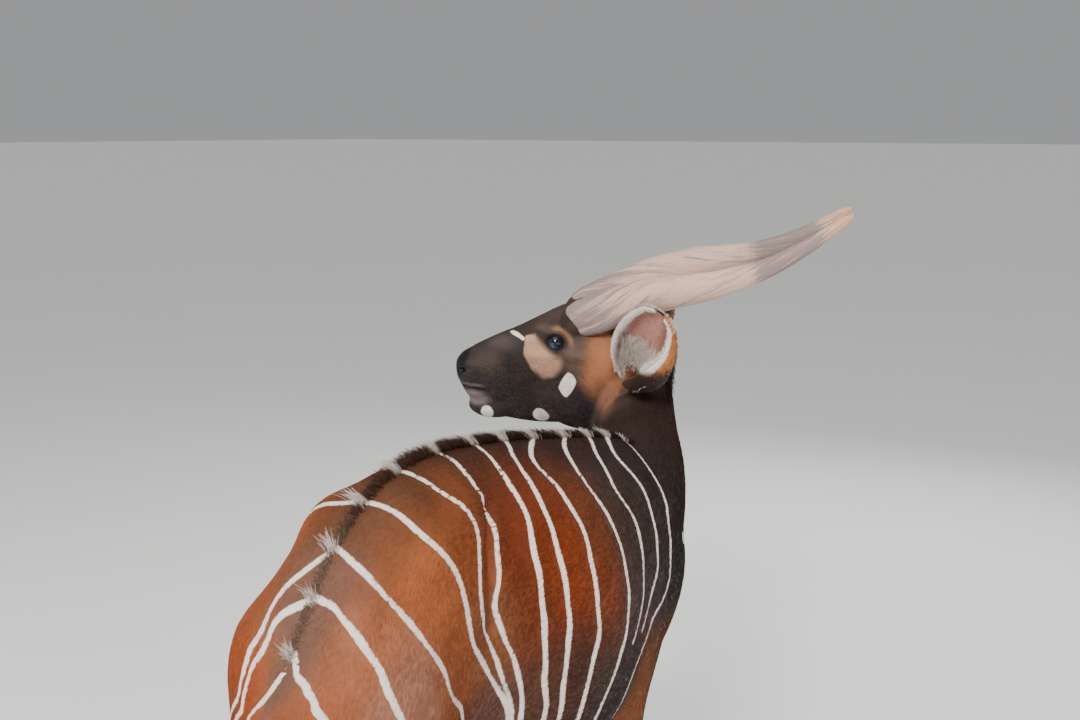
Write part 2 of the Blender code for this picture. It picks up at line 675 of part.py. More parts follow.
flesh = {}
for group in islands(body)[:10]:
    spots = np.array([body.data.vertices[i].co for i in group])
    low, high, middle = spots.min(0), spots.max(0), spots.mean(0)
    if len(group) < 60:
        continue
    if high[2] < 0.7:
        place = "front" if middle[1] < 0.2 else "hind"
        side = "left" if middle[0] > -0.03 else "right"
        level = "lower" if high[2] < LEG_SPLITS[place][1] + 0.01 else "upper"
        name = f"leg_{place}_{side}_{level}"
    else:
        name = "neck" if middle[1] < -0.3 else "torso"
    flesh[name] = taken(body, name, group, PARTS)

# The neck ends in a plane across the throat and the poll.
head_cut = HEAD_MATRIX @ facing(HEAD_CUT_POINT, HEAD_CUT_NORMAL)
whole = carved(flesh["neck"], shape("head_block", "box", CUTTERS, head_cut @ placed(
    (0, 0, 0.35 - GAP), (0.8, 0.8, 0.7))))
whole.name = "neck_whole"
flesh["neck"] = taken(whole, "neck", islands(whole)[0], PARTS)
bpy.data.objects.remove(whole)

# Head: sections and masses fused, then lids, mouth, nostrils and sockets.
rough = [
    mesh_object("head_rough", *head_piece(60, 56), CUTTERS, HEAD_MATRIX),
    mesh_object("neck_end", *along_path(NECK[2:], 30, 40), CUTTERS),
]
for centre, radii, turns in HEAD_MASSES:
    for flip in (Matrix.Identity(4), MIRROR):
        rough.append(shape("mass", "ball", CUTTERS, HEAD_MATRIX @ flip @ placed(
            centre, radii, turns), u=24, v=16))
head = fused("head", rough, PARTS, HEAD_VOXEL, HEAD_FACES, 5,
             lambda p: np.full(len(p), 0.5))
near = swollen(head, "head_swollen", CUTTERS, GAP)
EYE_LOOKS = Vector((0.16, 0.96, 0.12)).normalized()
for flip in (Matrix.Identity(4), MIRROR):
    rim = facing(EYE_CENTRE + EYE_LOOKS * 0.0115, EYE_LOOKS) @ Matrix.Diagonal((1.0, 0.80, 1.0, 1))
    lids = shape("lids", "ring", CUTTERS, HEAD_MATRIX @ flip @ rim, u=16, v=5,
                 major=LID_RADIUS, minor=LID_THICKNESS)
    head = carved(head, lids, "UNION")
hollows = []
for flip in (Matrix.Identity(4), MIRROR):
    hollows.append(shape("socket", "ball", CUTTERS, HEAD_MATRIX @ flip @ placed(
        EYE_CENTRE, (EYE_RADIUS + GAP * 1.1,) * 3), u=16, v=10))
    hollows.append(shape("nostril", "ball", CUTTERS, HEAD_MATRIX @ flip @ placed(
        (0.424, 0.029, -0.183), (0.013, 0.009, 0.0055), (0, 38, -42)), u=14, v=8))
hollows.append(shape("mouth", "box", CUTTERS, HEAD_MATRIX @ placed(
    (0.402, 0, -0.232), (0.118, 0.2, 0.0035), (0, 14, 0))))
hollows.append(shape("neck_block", "box", CUTTERS, head_cut @ placed(
    (0, 0, -0.35), (0.8, 0.8, 0.7))))
head = carved(head, joined("hollows", hollows, CUTTERS))
near_torso = swollen(flesh["torso"], "torso_swollen", CUTTERS, GAP)
head = carved(head, near_torso, solver="MANIFOLD")
flesh["head"] = taken(head, "head_whole", islands(head)[0], PARTS)
bpy.data.objects.remove(head)
flesh["head"].name = "head"

# Eyes, horns and ears.
near_neck = swollen(flesh["neck"], "neck_swollen", CUTTERS, GAP)
for side, flip in (("left", Matrix.Identity(4)), ("right", MIRROR)):
    flesh["eye_" + side] = shape("eye_" + side, "ball", PARTS, HEAD_MATRIX @ flip @ placed(
        EYE_CENTRE, (EYE_RADIUS,) * 3), u=16, v=10)
    table = sections(HORN, 24)
    centres = table[:, :3]
    ahead = unit(np.gradient(centres, axis=0))
    outward = np.tile([0.0, 1.0, 0.0], (24, 1))
    ups = unit(np.cross(ahead, outward))
    sides = np.cross(ups, ahead)
    angle = np.linspace(0, 2 * np.pi, 14, endpoint=False)
    keel = np.radians(table[:, 5])[:, None]
    swell = 1 + 0.16 * np.exp(-((np.angle(np.exp(1j * (angle[None, :] - keel)))) / 0.42) ** 2)
    swell = swell - 0.05
    grid = (
        centres[:, None, :]
        + (table[:, 3:4] * swell * np.cos(angle))[..., None] * ups[:, None, :]
        + (table[:, 4:5] * swell * np.sin(angle))[..., None] * sides[:, None, :]
    )
    horn = mesh_object("horn_rough", *closed_grid(grid), CUTTERS, HEAD_MATRIX @ flip)
    horn = carved(horn, near, solver="MANIFOLD")
    flesh["horn_" + side] = taken(horn, "horn_" + side, islands(horn)[0], PARTS)

    axis = (EAR_TIP - EAR_ROOT)
    faces_to = (EAR_FACES - axis.normalized() * EAR_FACES.dot(axis.normalized())).normalized()
    across = axis.normalized().cross(faces_to)
    table = interpolated([row[0] for row in EAR], EAR, np.linspace(0, 1, 16))
    place = table[:, 0]
    curl = 0.012 * np.sin(np.pi * place)
    along = place[:, None]
    middle = ((1 - along) ** 2 * np.array(EAR_ROOT) + 2 * along * (1 - along) * np.array(EAR_KNEE)
              + along ** 2 * np.array(EAR_TIP) - curl[:, None] * np.array(faces_to))
    square = np.full(16, 2.0)
    outer = rings(middle, np.tile(across, (16, 1)), np.tile(faces_to, (16, 1)),
                  np.maximum(table[:, 1], 0.002), np.maximum(table[:, 2], 0.0015) * 0.55,
                  np.maximum(table[:, 2], 0.0015), square, square, 14)
    ear = mesh_object("ear_rough", *closed_grid(outer), CUTTERS, HEAD_MATRIX @ flip)
    inner_rows = slice(2, 15)
    inner = rings(middle[inner_rows] + 0.012 * np.array(faces_to), np.tile(across, (13, 1)),
                  np.tile(faces_to, (13, 1)), table[inner_rows, 1] * 0.86, table[inner_rows, 2] * 0.9,
                  table[inner_rows, 2] * 1.0, square[inner_rows], square[inner_rows], 12)
    cup = mesh_object("cup", *closed_grid(inner), CUTTERS, HEAD_MATRIX @ flip)
    ear = carved(carved(ear, cup), near, solver="MANIFOLD")
    ear = carved(ear, near_neck, solver="MANIFOLD")
    flesh["ear_" + side] = taken(ear, "ear_" + side, islands(ear)[0], PARTS)

# Hooves.
for leg_name, (rows, ahead, top, foot) in LEGS.items():
    centre = leg_point(rows, ahead, top, foot, CORONET)
    flesh["hoof" + leg_name[3:]] = hoof("hoof" + leg_name[3:], PARTS, centre, ahead)

# Tail with its tuft.
table = sections(TAIL, 18)
centres = table[:, :3]
ahead = unit(np.gradient(centres, axis=0))
sides = unit(np.cross(ahead, np.tile([0.0, 1.0, 0.02], (18, 1))))
ups = np.cross(sides, ahead)
two = np.full(18, 2.0)
grid = rings(centres, sides, ups, table[:, 3], table[:, 3], table[:, 3], two, two, 10)
tail = mesh_object("tail_rough", *closed_grid(grid), CUTTERS)
tuft_home = bpy.data.collections.new("tuft_locks")
CUTTERS.children.link(tuft_home)
for i in range(TUFT_LOCKS):
    around = 2.4 * i
    start = 0.66 - 0.014 * i
    out = Vector((math.cos(around), math.sin(around), 0))
    root = Vector((-0.066, 0.842, start)) + out * 0.006
    lock(f"tuft_{i}", tuft_home, root, Vector((0, 0, -1)) + out * 0.14, out, 0.16, 0.030, 0.018, 0.004)
baked(tail, [("BOOLEAN", {
    "operation": "UNION", "solver": "EXACT", "operand_type": "COLLECTION", "collection": tuft_home})])
tail = carved(tail, near_torso)
flesh["tail"] = taken(tail, "tail", islands(tail)[0], PARTS)

# Looks of the parts.
COAT = material("coat", (0.35, 0.13, 0.05), 0.8)
DARK_COAT = material("dark_coat", (0.10, 0.06, 0.045), 0.8)
HORN_SHELL = material("horn", (0.62, 0.48, 0.38), 0.5)
HOOF_SHELL = material("hoof", (0.05, 0.045, 0.04), 0.5)
EYE_GLASS = material("eye", (0.01, 0.012, 0.02), 0.08)
for name, obj in flesh.items():
    obj.data.materials.clear()
    if name.startswith("horn"):
        obj.data.materials.append(HORN_SHELL)
    elif name.startswith("hoof"):
        obj.data.materials.append(HOOF_SHELL)
    elif name.startswith("eye"):
        obj.data.materials.append(EYE_GLASS)
    elif name in ("head", "neck"):
        obj.data.materials.append(DARK_COAT)
    else:
        obj.data.materials.append(COAT)

# The middle of the whole box stands over the origin.
spots = np.concatenate([np.array([v.co for v in obj.data.vertices]) for obj in flesh.values()])
middle = (spots.min(0) + spots.max(0)) / 2
for obj in flesh.values():
    obj.data.transform(Matrix.Translation((-middle[0], -middle[1], 0)))

for obj in list(CUTTERS.all_objects):
    obj.hide_render = True
    obj.display_type = "WIRE"
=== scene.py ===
"""Life-size still model of a bongo antelope: skin, short coat, crest, horns, eyes, ears and hooves."""

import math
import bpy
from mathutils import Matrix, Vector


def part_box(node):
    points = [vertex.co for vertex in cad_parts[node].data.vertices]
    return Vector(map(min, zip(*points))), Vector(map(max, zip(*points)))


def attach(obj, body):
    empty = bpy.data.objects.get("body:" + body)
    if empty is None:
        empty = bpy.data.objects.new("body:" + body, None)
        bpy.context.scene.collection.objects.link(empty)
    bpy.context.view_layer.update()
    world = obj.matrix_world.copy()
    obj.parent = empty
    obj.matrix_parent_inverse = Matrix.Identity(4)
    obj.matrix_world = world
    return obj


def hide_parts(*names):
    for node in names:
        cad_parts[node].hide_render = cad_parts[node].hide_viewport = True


bl_info = {
    "name": "Bongo antelope",
    "version": (1, 0, 0),
    "blender": (4, 5, 0),
    "location": "3D View > Sidebar > Bongo",
    "description": "Builds a life-size bongo antelope with its striped coat over the packed frame",
    "category": "Add Mesh",
}

import bpy
import numpy as np
from mathutils import Matrix, Vector
from mathutils.bvhtree import BVHTree

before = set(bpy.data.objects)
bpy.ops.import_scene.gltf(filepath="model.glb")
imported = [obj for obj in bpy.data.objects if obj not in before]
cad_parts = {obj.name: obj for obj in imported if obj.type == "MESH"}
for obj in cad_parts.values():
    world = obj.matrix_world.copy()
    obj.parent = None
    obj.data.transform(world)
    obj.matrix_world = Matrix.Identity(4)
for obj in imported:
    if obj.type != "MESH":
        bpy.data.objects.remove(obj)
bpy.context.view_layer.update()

# Sizes, in the animal's own frame

# Rings of the trunk: y, x of the middle, back, belly, centre height, half width, squareness above, below
TRUNK = (
    (.8, -.068, .96, .85, .905, .045, 2.0, 2.0), (.772, -.062, 1.005, .8, .905, .095, 2.0, 2.0),
    (.725, -.05, 1.052, .76, .905, .135, 2.0, 2.0), (.66, -.031, 1.128, .72, .925, .165, 2.0, 2.0),
    (.59, -.015, 1.192, .69, .96, .182, 2.0, 2.0), (.5, .002, 1.25, .672, .99, .186, 2.0, 2.0),
    (.4, .014, 1.285, .646, .985, .19, 2.0, 2.1), (.29, .021, 1.296, .618, .95, .21, 2.0, 2.2),
    (.17, .018, 1.29, .598, .925, .244, 2.0, 2.2), (.06, .008, 1.28, .588, .915, .262, 2.0, 2.2),
    (-.05, -.006, 1.266, .592, .915, .252, 1.95, 2.2), (-.16, -.027, 1.252, .622, .92, .208, 1.8, 2.1),
    (-.25, -.044, 1.235, .672, .935, .172, 1.75, 2.0), (-.33, -.06, 1.165, .735, .945, .132, 1.9, 2.0),
    (-.385, -.072, 1.075, .8, .945, .086, 2.0, 2.0), (-.415, -.078, .99, .885, .94, .035, 2.0, 2.0),
)
# Rings of the neck: centre, half width, reach to the nape and to the throat, direction of the nape
NECK = (
    (-.045, -.2, .99, .14, .19, .2, 0.0, .45, .9), (-.045, -.3, 1.05, .125, .165, .17, -.1, .6, .8),
    (-.015, -.385, 1.12, .108, .14, .14, -.35, .7, .6), (.035, -.445, 1.19, .098, .12, .125, -.7, .6, .35),
    (.068, -.48, 1.26, .09, .105, .115, -.9, .1, .15), (.083, -.488, 1.33, .082, .098, .108, -.9, -.4, .1),
    (.1, -.485, 1.4, .07, .085, .09, -.87, -.48, .1),
)
# The head's own frame: its place, and its turns in degrees about z, y and x
POLL = np.array([0.0376, -0.4781, 1.4868])
HEAD_TURNS = (29.5, -4.5, -10.2)
HEAD_MIDDLE = (0.17, 0.0, -0.15)
# Rings of the head: x, top, bottom, centre, half width, squareness above and below
HEAD = (
    (-.08, -.075, -.2, -.13, .056, 2.0, 2.0), (-.05, -.03, -.24, -.13, .07, 2.0, 2.0),
    (0.0, -.006, -.262, -.125, .077, 2.1, 1.9), (.05, .004, -.28, -.125, .079, 2.2, 2.0),
    (.1, .006, -.292, -.125, .078, 2.3, 2.0), (.15, .004, -.307, -.12, .076, 2.3, 1.9),
    (.2, -.016, -.316, -.115, .07, 2.3, 1.75), (.25, -.046, -.319, -.128, .06, 2.2, 1.7),
    (.3, -.076, -.317, -.145, .052, 2.1, 1.7), (.34, -.097, -.312, -.165, .049, 2.1, 1.8),
    (.38, -.12, -.3, -.185, .046, 2.1, 1.9), (.41, -.139, -.268, -.19, .041, 2.0, 2.0),
    (.435, -.158, -.228, -.188, .028, 2.0, 2.0), (.446, -.172, -.205, -.187, .012, 2.0, 2.0),
)
# Fleshy masses of the head, on both sides: centre, radii, turns in degrees
HEAD_MASSES = (
    ((.196, .045, -.08), (.04, .027, .03), (0, 0, -6)),
    ((.125, .018, -.195), (.15, .06, .122), (0, -12, 0)),
    ((.14, .058, -.125), (.085, .017, .016), (0, 12, -4)),
    ((.398, .02, -.196), (.044, .026, .044), (0, 30, 0)),
    ((.345, .008, -.28), (.066, .03, .036), (0, 6, 0)),
    ((.1, .044, -.022), (.058, .038, .038), (0, -20, 0)),
    ((.152, .045, -.032), (.04, .036, .038), (0, 0, 0)), ((.012, .052, -.14), (.036, .03, .04), (0, 0, 0)),
)
# Muscle masses of the body
BODY_MASSES = (
    ((-.142, -.18, .93), (.062, .125, .21), (14, 0, -14)),
    ((.076, -.24, .93), (.062, .125, .21), (14, 0, -14)),
    ((-.098, .56, .94), (.088, .17, .215), (-12, 0, 13)),
    ((.036, .595, .94), (.073, .158, .215), (-12, 0, 13)),
    ((-.088, .43, 1.13), (.072, .12, .082), (0, 25, 10)),
    ((.1, .462, 1.17), (.066, .108, .084), (0, -25, 10)),
    ((-.065, -.35, .92), (.08, .07, .11), (0, 0, -14)), ((-.058, .735, .965), (.05, .05, .06), (0, 0, 0)),
)
# Rings of a leg: shift ahead, height, half width, reach ahead, reach behind
FORELEG = (
    (0.0, 1.0, .02, .03, .03), (0.0, .97, .052, .075, .075), (0.0, .9, .074, .105, .105),
    (.005, .78, .068, .092, .1), (0.0, .69, .057, .068, .082), (0.0, .6, .046, .051, .056),
    (.004, .49, .037, .04, .04), (.008, .405, .034, .036, .035), (.01, .36, .036, .038, .034),
    (.006, .31, .027, .027, .029), (.003, .23, .022, .022, .025), (.002, .155, .024, .023, .027),
    (.004, .118, .03, .028, .034), (.016, .084, .027, .025, .027), (.028, .056, .032, .032, .032),
    (.034, .036, .033, .034, .033),
)
HINDLEG = (
    (0.0, 1.11, .025, .04, .04), (0.0, 1.07, .062, .1, .095), (.008, .98, .09, .15, .14),
    (.022, .86, .09, .15, .142), (.04, .73, .07, .115, .11), (.012, .64, .054, .078, .076),
    (-.036, .56, .041, .05, .054), (-.068, .5, .034, .037, .046), (-.075, .45, .034, .036, .042),
    (-.068, .39, .029, .03, .034), (-.052, .29, .024, .024, .027), (-.036, .18, .025, .024, .028),
    (-.026, .122, .031, .029, .036), (-.01, .086, .027, .025, .028), (.006, .056, .032, .032, .032),
    (.012, .036, .033, .034, .033),
)
LEG_TOP_HEIGHT = 0.95
LEGS = {
    "front_right": (FORELEG, (-0.24, -0.971), (-0.138, -0.14), (-0.146, -0.1)),
    "front_left": (FORELEG, (-0.24, -0.971), (0.066, -0.215), (0.074, -0.21)),
    "hind_right": (HINDLEG, (0.22, -0.975), (-0.128, 0.57), (-0.142, 0.65)),
    "hind_left": (HINDLEG, (0.22, -0.975), (0.084, 0.62), (0.114, 0.59)),
}
CORONET = 0.056
HOCK_HEIGHT = 0.492
DEWCLAW_HEIGHT = 0.108
HOOF_LENGTH = 0.104
HOOF_WIDTH = 0.072
# Path of the tail: centre and radius
TAIL = (
    (-.058, .73, .985, .036), (-.062, .782, .968, .034), (-.066, .824, .92, .029), (-.068, .842, .85, .025),
    (-.068, .846, .76, .021), (-.067, .844, .66, .017), (-.066, .842, .56, .013), (-.065, .841, .52, .01),
)
# Line of the back that carries the crest
BACK_LINE = (
    (-.06, -.29, 1.215), (-.053, -.263, 1.23), (-.041, -.212, 1.24), (-.015, -.09, 1.254),
    (.011, .085, 1.276), (.021, .28, 1.29), (.014, .396, 1.28), (.002, .497, 1.245), (-.015, .591, 1.184),
    (-.031, .658, 1.119), (-.048, .735, 1.035),
)
EYE_CENTRE = np.array([0.196, 0.057, -0.084])
EYE_LOOKS = np.array([0.16, 0.96, 0.12])
EYE_RADIUS = 0.0205
# Middle line of a horn in the head's frame: centre, half depth, half width, place of the keel in degrees
HORN = (
    (.162, .045, -.03, .034, .026, 20), (.147, .05, -.022, .041, .033, 26),
    (.116, .058, -.008, .046, .038, 36), (.075, .067, .012, .048, .04, 50),
    (-.005, .086, .054, .045, .034, 90), (-.083, .103, .083, .039, .029, 135),
    (-.172, .108, .11, .029, .024, 180), (-.258, .088, .143, .024, .02, 220),
    (-.34, .062, .19, .019, .016, 255), (-.402, .045, .237, .014, .012, 280),
    (-.438, .036, .267, .009, .008, 290), (-.45, .033, .277, .003, .003, 295),
)
EAR_ROOT = np.array([0.01, 0.064, -0.158])
EAR_KNEE = np.array([0.014, 0.176, -0.112])
EAR_TIP = np.array([-0.044, 0.172, 0.046])
EAR_FACES = np.array([0.45, 0.89, 0.05])
# Rings of an ear: place from root to tip, half width, depth, turns of the front and the rear rim in degrees
EAR = (
    (0.0, .018, .018, 110, 150), (.12, .036, .034, 108, 166), (.28, .06, .048, 104, 174),
    (.4, .073, .055, 100, 172), (.52, .08, .056, 98, 163), (.65, .081, .054, 96, 150),
    (.78, .076, .046, 95, 132), (.9, .06, .033, 93, 115), (.97, .04, .02, 92, 105),
    (1.0, .018, .009, 92, 98),
)
# The right ear is held a little lower and further forward
EAR_RIGHT_SHIFT = np.array([0.02, 0.0, -0.022])

# Stripes: the y at each angle from the back down the right side, then half widths at 0, 60 and 120 degrees
STRIPE_ANGLES = (0, 15, 30, 45, 60, 75, 90, 105, 120, 135, 150)
STRIPES = (
    ((-.263, -.252, -.254, -.231, -.222, -.212, -.188, -.1, -.03, -.015, .0), (.0026, .0026, .003), 140),
    ((-.212, -.155, -.177, -.175, -.164, -.143, -.095, -.035, .0, .01, .02), (.003, .003, .0026), 101),
    ((-.159, -.097, -.077, -.098, -.096, -.076, -.042, .005, .03, .04, .05), (.003, .0036, .0024), 102),
    ((-.09, -.004, .019, .005, .003, .007, .02, .045, .07, .078, .08), (.0032, .0036, .0036), 134),
    ((.0, .102, .103, .097, .103, .107, .11, .127, .132, .132, .13), (.0034, .0042, .0044), 138),
    ((.085, .149, .164, .172, .175, .177, .182, .188, .184, .178, .17), (.0034, .0048, .0046), 140),
    ((.174, .204, .209, .224, .23, .233, .232, .231, .219, .214, .21), (.0034, .0052, .005), 142),
    ((.28, .29, .288, .312, .333, .321, .301, .283, .271, .262, .255), (.004, .0034, .0044), 140),
    ((.396, .376, .344, .368, .374, .356, .335, .315, .292, .28, .272), (.0039, .0044, .0032), 138),
    ((.497, .478, .458, .422, .417, .401, .367, .335, .301, .29, .28), (.005, .0053, .0037), 136),
    ((.591, .595, .595, .575, .554, .519, .496, .444, .421, .41, .4), (.005, .005, .0046), 118),
    ((.658, .659, .675, .667, .657, .65, .63, .6, .57, .55, .54), (.005, .005, .005), 112),
    ((.725, .743, .745, .747, .748, .742, .73, .7, .67, .65, .64), (.005, .0054, .005), 112),
)
# The stripes of the croup on the left side, which run further back
LEFT_STRIPES = {
    9: (.497, .512, .53, .53, .5, .46, .42, .38, .35, .33, .32),
    10: (.6, .657, .716, .737, .758, .772, .765, .74, .7, .68, .67),
    11: (.664, .701, .735, .753, .775, .786, .784, .775, .76, .74, .73),
    12: (.75, .79, .8, .802, .802, .802, .8, .8, .79, .78, .77),
}

# Coat colours of the trunk: y, angle from the back, reach, then linear red, green, blue
# Several of these colours are partly painted sheen: the greyer, paler ones on the croup, low on the haunch
# and barrel, and on the shoulder.
TRUNK_TONES_AND_SHEEN = (
    (.78, 60, .26, .07, .024), (.78, 120, .19, .048, .018), (.66, 5, .13, .06, .036),
    (.66, 40, .27, .086, .036), (.6, 80, .26, .11, .066), (.6, 130, .17, .06, .034),
    (.5, 5, .085, .036, .017), (.5, 35, .3, .083, .026), (.48, 80, .265, .075, .026),
    (.45, 130, .13, .038, .014), (.38, 4, .055, .024, .012), (.36, 30, .21, .052, .014),
    (.34, 75, .18, .06, .024), (.32, 125, .098, .042, .03), (.26, 4, .04, .018, .01),
    (.25, 35, .12, .022, .005), (.25, 75, .118, .024, .005), (.24, 110, .072, .028, .016),
    (.15, 4, .034, .015, .009), (.16, 32, .13, .024, .005), (.15, 60, .17, .029, .005),
    (.15, 100, .05, .018, .01), (.07, 4, .03, .014, .01), (.07, 40, .112, .029, .011),
    (.08, 75, .145, .034, .012), (.08, 110, .045, .026, .021), (-.03, 4, .03, .015, .011),
    (-.04, 45, .046, .026, .018), (-.03, 85, .062, .04, .038), (-.02, 115, .032, .024, .024),
    (-.13, 4, .026, .014, .011), (-.14, 45, .036, .022, .017), (-.13, 95, .046, .032, .035),
    (-.1, 125, .17, .06, .022), (-.26, 4, .022, .012, .01), (-.26, 45, .024, .016, .014),
    (-.25, 90, .024, .019, .019), (-.22, 130, .08, .034, .016), (-.38, 30, .018, .011, .01),
    (-.38, 120, .02, .014, .013), (.7, 176, .06, .03, .018), (.45, 176, .04, .02, .014),
    (.15, 176, .022, .015, .013), (-.2, 176, .018, .013, .012), (.35, 150, .08, .04, .025),
    (.05, 150, .028, .02, .018),
)
# Patches of colour on the head, later ones over earlier ones: centre, radii, softness, colour, amount. Two
# are painted light: painted sheen on the muzzle's top and a painted highlight on the brow ridge.
HEAD_PATCHES_AND_HIGHLIGHTS = (
    ((.2, 0.0, -.015), (.095, .06, .045), .5, (.06, .036, .031), .9),
    ((.24, .04, -.045), (.035, .04, .022), .6, (.05, .031, .025), .8),
    ((.135, .074, -.05), (.042, .04, .03), .5, (.072, .044, .032), .9),
    ((.36, .05, -.156), (.04, .024, .036), .7, (.06, .041, .03), .85),
    # Painted sheen: a lighter, greyer patch on the top of the muzzle
    ((.33, .03, -.108), (.05, .03, .02), .8, (.072, .05, .043), .8),
    # Painted highlight: a lighter patch on the brow ridge over the eye
    ((.222, .05, -.056), (.03, .03, .01), .6, (.085, .052, .038), .85),
    ((.14, .075, -.112), (.046, .05, .05), .55, (.125, .078, .058), .95),
    ((.08, .076, -.082), (.046, .05, .048), .5, (.3, .12, .048), .95),
    ((.079, .078, -.142), (.054, .06, .068), .55, (.4, .158, .07), .98),
    ((.072, .08, -.205), (.042, .055, .048), .6, (.185, .08, .045), .9),
    ((.034, .078, -.142), (.034, .055, .06), .6, (.19, .07, .027), .8),
    ((.197, .07, -.084), (.027, .034, .022), .35, (.028, .018, .015), .95),
    ((.229, .062, -.088), (.016, .02, .009), .5, (.035, .022, .019), .9),
    ((.125, .08, -.236), (.05, .06, .03), .6, (.03, .024, .027), .9),
    ((.22, 0.0, -.335), (.15, .09, .05), .5, (.02, .016, .017), .9),
    ((.392, .024, -.258), (.04, .04, .022), .5, (.2, .155, .15), .9),
    ((.4, .036, -.222), (.034, .02, .006), .6, (.16, .125, .125), .7),
)
# The tan patch before the cheek: outline in x and z, with the colour of its upper and of its lower part
TAN_OUTLINE = (
    (.2715, -.083), (.25, -.0745), (.224, -.094), (.2, -.111), (.18, -.118), (.175, -.13), (.178, -.148),
    (.196, -.171), (.222, -.182), (.252, -.162), (.273, -.124),
)
TAN_UPPER, TAN_LOWER = (.44, .25, .16), (.38, .215, .145)
# The warm ring over the eye: centre, radius, thickness and colour
EYE_RING = ((0.192, 0.072, -0.082), 0.031, 0.0062, (.33, .175, .085))
# Grooves and swellings: centre in the head's frame, radii, height; each on both sides
HEAD_RELIEF = (
    ((.19, .056, -.046), (.036, .022, .012), .0038), ((.16, .066, -.06), (.022, .02, .012), .0022),
    ((.24, .055, -.103), (.022, .02, .014), -.0026), ((.235, .062, -.128), (.05, .02, .01), .0018),
    ((.205, .072, -.118), (.03, .02, .006), .0016), ((.15, .075, -.112), (.04, .02, .012), .003),
    ((.095, .07, -.06), (.036, .03, .026), -.004), ((.11, .078, -.2), (.055, .03, .05), .003),
    ((.215, .06, -.205), (.045, .03, .02), -.003), ((.29, .05, -.175), (.04, .025, .02), -.0022),
    ((.33, .03, -.1), (.05, .012, .012), .0015), ((.33, .048, -.15), (.04, .02, .02), -.0012),
    ((.412, .04, -.176), (.018, .014, .014), .0032), ((.424, .033, -.188), (.0075, .012, .0058), -.017),
    ((.411, .04, -.181), (.0085, .012, .0032), -.007), ((.44, 0.0, -.195), (.012, .003, .02), -.002),
    ((.395, .035, -.212), (.03, .014, .008), .0022), ((.385, .028, -.246), (.032, .016, .008), .0024),
    ((.352, .045, -.236), (.01, .014, .012), -.0025), ((.03, .07, -.255), (.05, .035, .018), -.004),
    ((.262, .02, -.3), (.05, .02, .018), .002),
)
MOUTH = (
    (.432, .004, -.214), (.419, .022, -.221), (.394, .036, -.229), (.368, .043, -.235), (.344, .046, -.241),
)
# Folds and hollows of the body: points of a line, half width, height; on the right side and mirrored
BODY_LINES = (
    (((-.117, .283, 1.215), (-.147, .32, 1.149), (-.166, .34, 1.085), (-.186, .35, 1.0)), .013, -.015),
    (((-.186, .35, 1.0), (-.2, .34, .9), (-.19, .33, .8)), .03, -.009),
    (((-.1, .24, 1.225), (-.16, .27, 1.13)), .04, -.008),
    (((-.096, .345, 1.228), (-.128, .37, 1.19)), .03, .008),
    (((-.15, -.06, 1.17), (-.205, -.08, 1.04), (-.215, -.11, .9)), .03, -.005),
    (((-.11, -.17, 1.195), (-.165, -.19, 1.06), (-.18, -.22, .95)), .026, .005),
    (((-.06, .6, 1.17), (-.12, .66, 1.08), (-.16, .69, .98)), .05, .004),
)
# Fold behind the jaw, in the head's frame: the skin sinks along it, and painted shade darkens the throat
# beside it
THROAT_FOLD = (
    (.095, .085, -.262), (.07, .092, -.235), (.045, .098, -.205), (.026, .096, -.178), (.008, .092, -.15),
)
# Creases of the head that sink, darkened with painted shade: points of a line, half width, depth, darkness of
# the painted shade
HEAD_CREASES = (
    (((.242, .058, -.191), (.205, .07, -.181), (.17, .076, -.166)), .0042, .0016, .55),
    (((.284, .052, -.108), (.262, .056, -.1), (.236, .064, -.094)), .0036, .0012, .45),
    (((.168, .08, -.098), (.19, .078, -.108), (.214, .073, -.106)), .0026, .001, .35),
    (((.35, .046, -.236), (.33, .048, -.25), (.318, .046, -.268)), .004, .0016, .5),
)
# White marks: points of a line in the head's frame and its half width
HEAD_LINES = (
    (((.326, .002, -.078), (.302, .024, -.084), (.276, .04, -.092)), .0054),
)
# White spots: centre, radii, power of the outline, lean
HEAD_SPOTS = (
    ((.162, .078, -.184), (.0215, .04, .0325), 1.35, .45),
    ((.226, .045, -.29), (.0215, .05, .0235), 2.0, 0.0), ((.358, .01, -.292), (.019, .04, .021), 2.0, 0.0),
)
# White marks of the chest and legs, in the animal's frame: points of a line and half width
BODY_WHITES = (
    (((-.165, -.335, 1.0), (-.105, -.4, .95), (-.05, -.415, .94), (.015, -.38, .985)), .014),
)
# Directions in which the hair lies: place, direction, in the animal's frame
LIES = (
    ((-.02, -.15, 1.24), (0, 1.0, -.05)), ((.02, .3, 1.29), (0, 1.0, -.02)),
    ((-.01, .58, 1.19), (0, .8, -.6)), ((-.05, .76, 1.0), (0, .35, -.94)),
    ((-.06, .8, .85), (0, 0.0, -1.0)), ((-.17, -.2, 1.1), (0, .75, -.6)), ((.09, -.26, 1.1), (0, .75, -.6)),
    ((-.2, -.2, .85), (0, .45, -.9)), ((.13, -.26, .85), (0, .45, -.9)), ((-.23, .08, 1.05), (0, .8, -.55)),
    ((.25, .08, 1.05), (0, .8, -.55)), ((-.24, .08, .8), (0, .9, -.4)), ((.26, .08, .8), (0, .9, -.4)),
    ((0.0, .05, .6), (0, 1.0, 0.0)), ((0.0, .45, .66), (0, 1.0, .1)), ((-.2, .36, .95), (0, .7, -.65)),
    ((.21, .36, .95), (0, .7, -.65)), ((-.18, .55, 1.05), (0, .45, -.85)),
    ((.14, .6, 1.05), (0, .45, -.85)), ((-.2, .58, .8), (0, .25, -.95)), ((.15, .6, .8), (0, .25, -.95)),
    ((-.07, -.42, .95), (0, .15, -1.0)), ((-.06, -.36, .75), (0, .5, -.9)),
    ((-.11, -.4, 1.12), (-.1, .35, -.9)), ((.05, -.33, 1.18), (-.1, .5, -.8)),
    ((-.06, -.52, 1.25), (-.1, .25, -.95)), ((.15, -.42, 1.25), (-.25, -.1, -.95)),
    ((-.02, -.53, 1.38), (-.15, .1, -.97)),
)
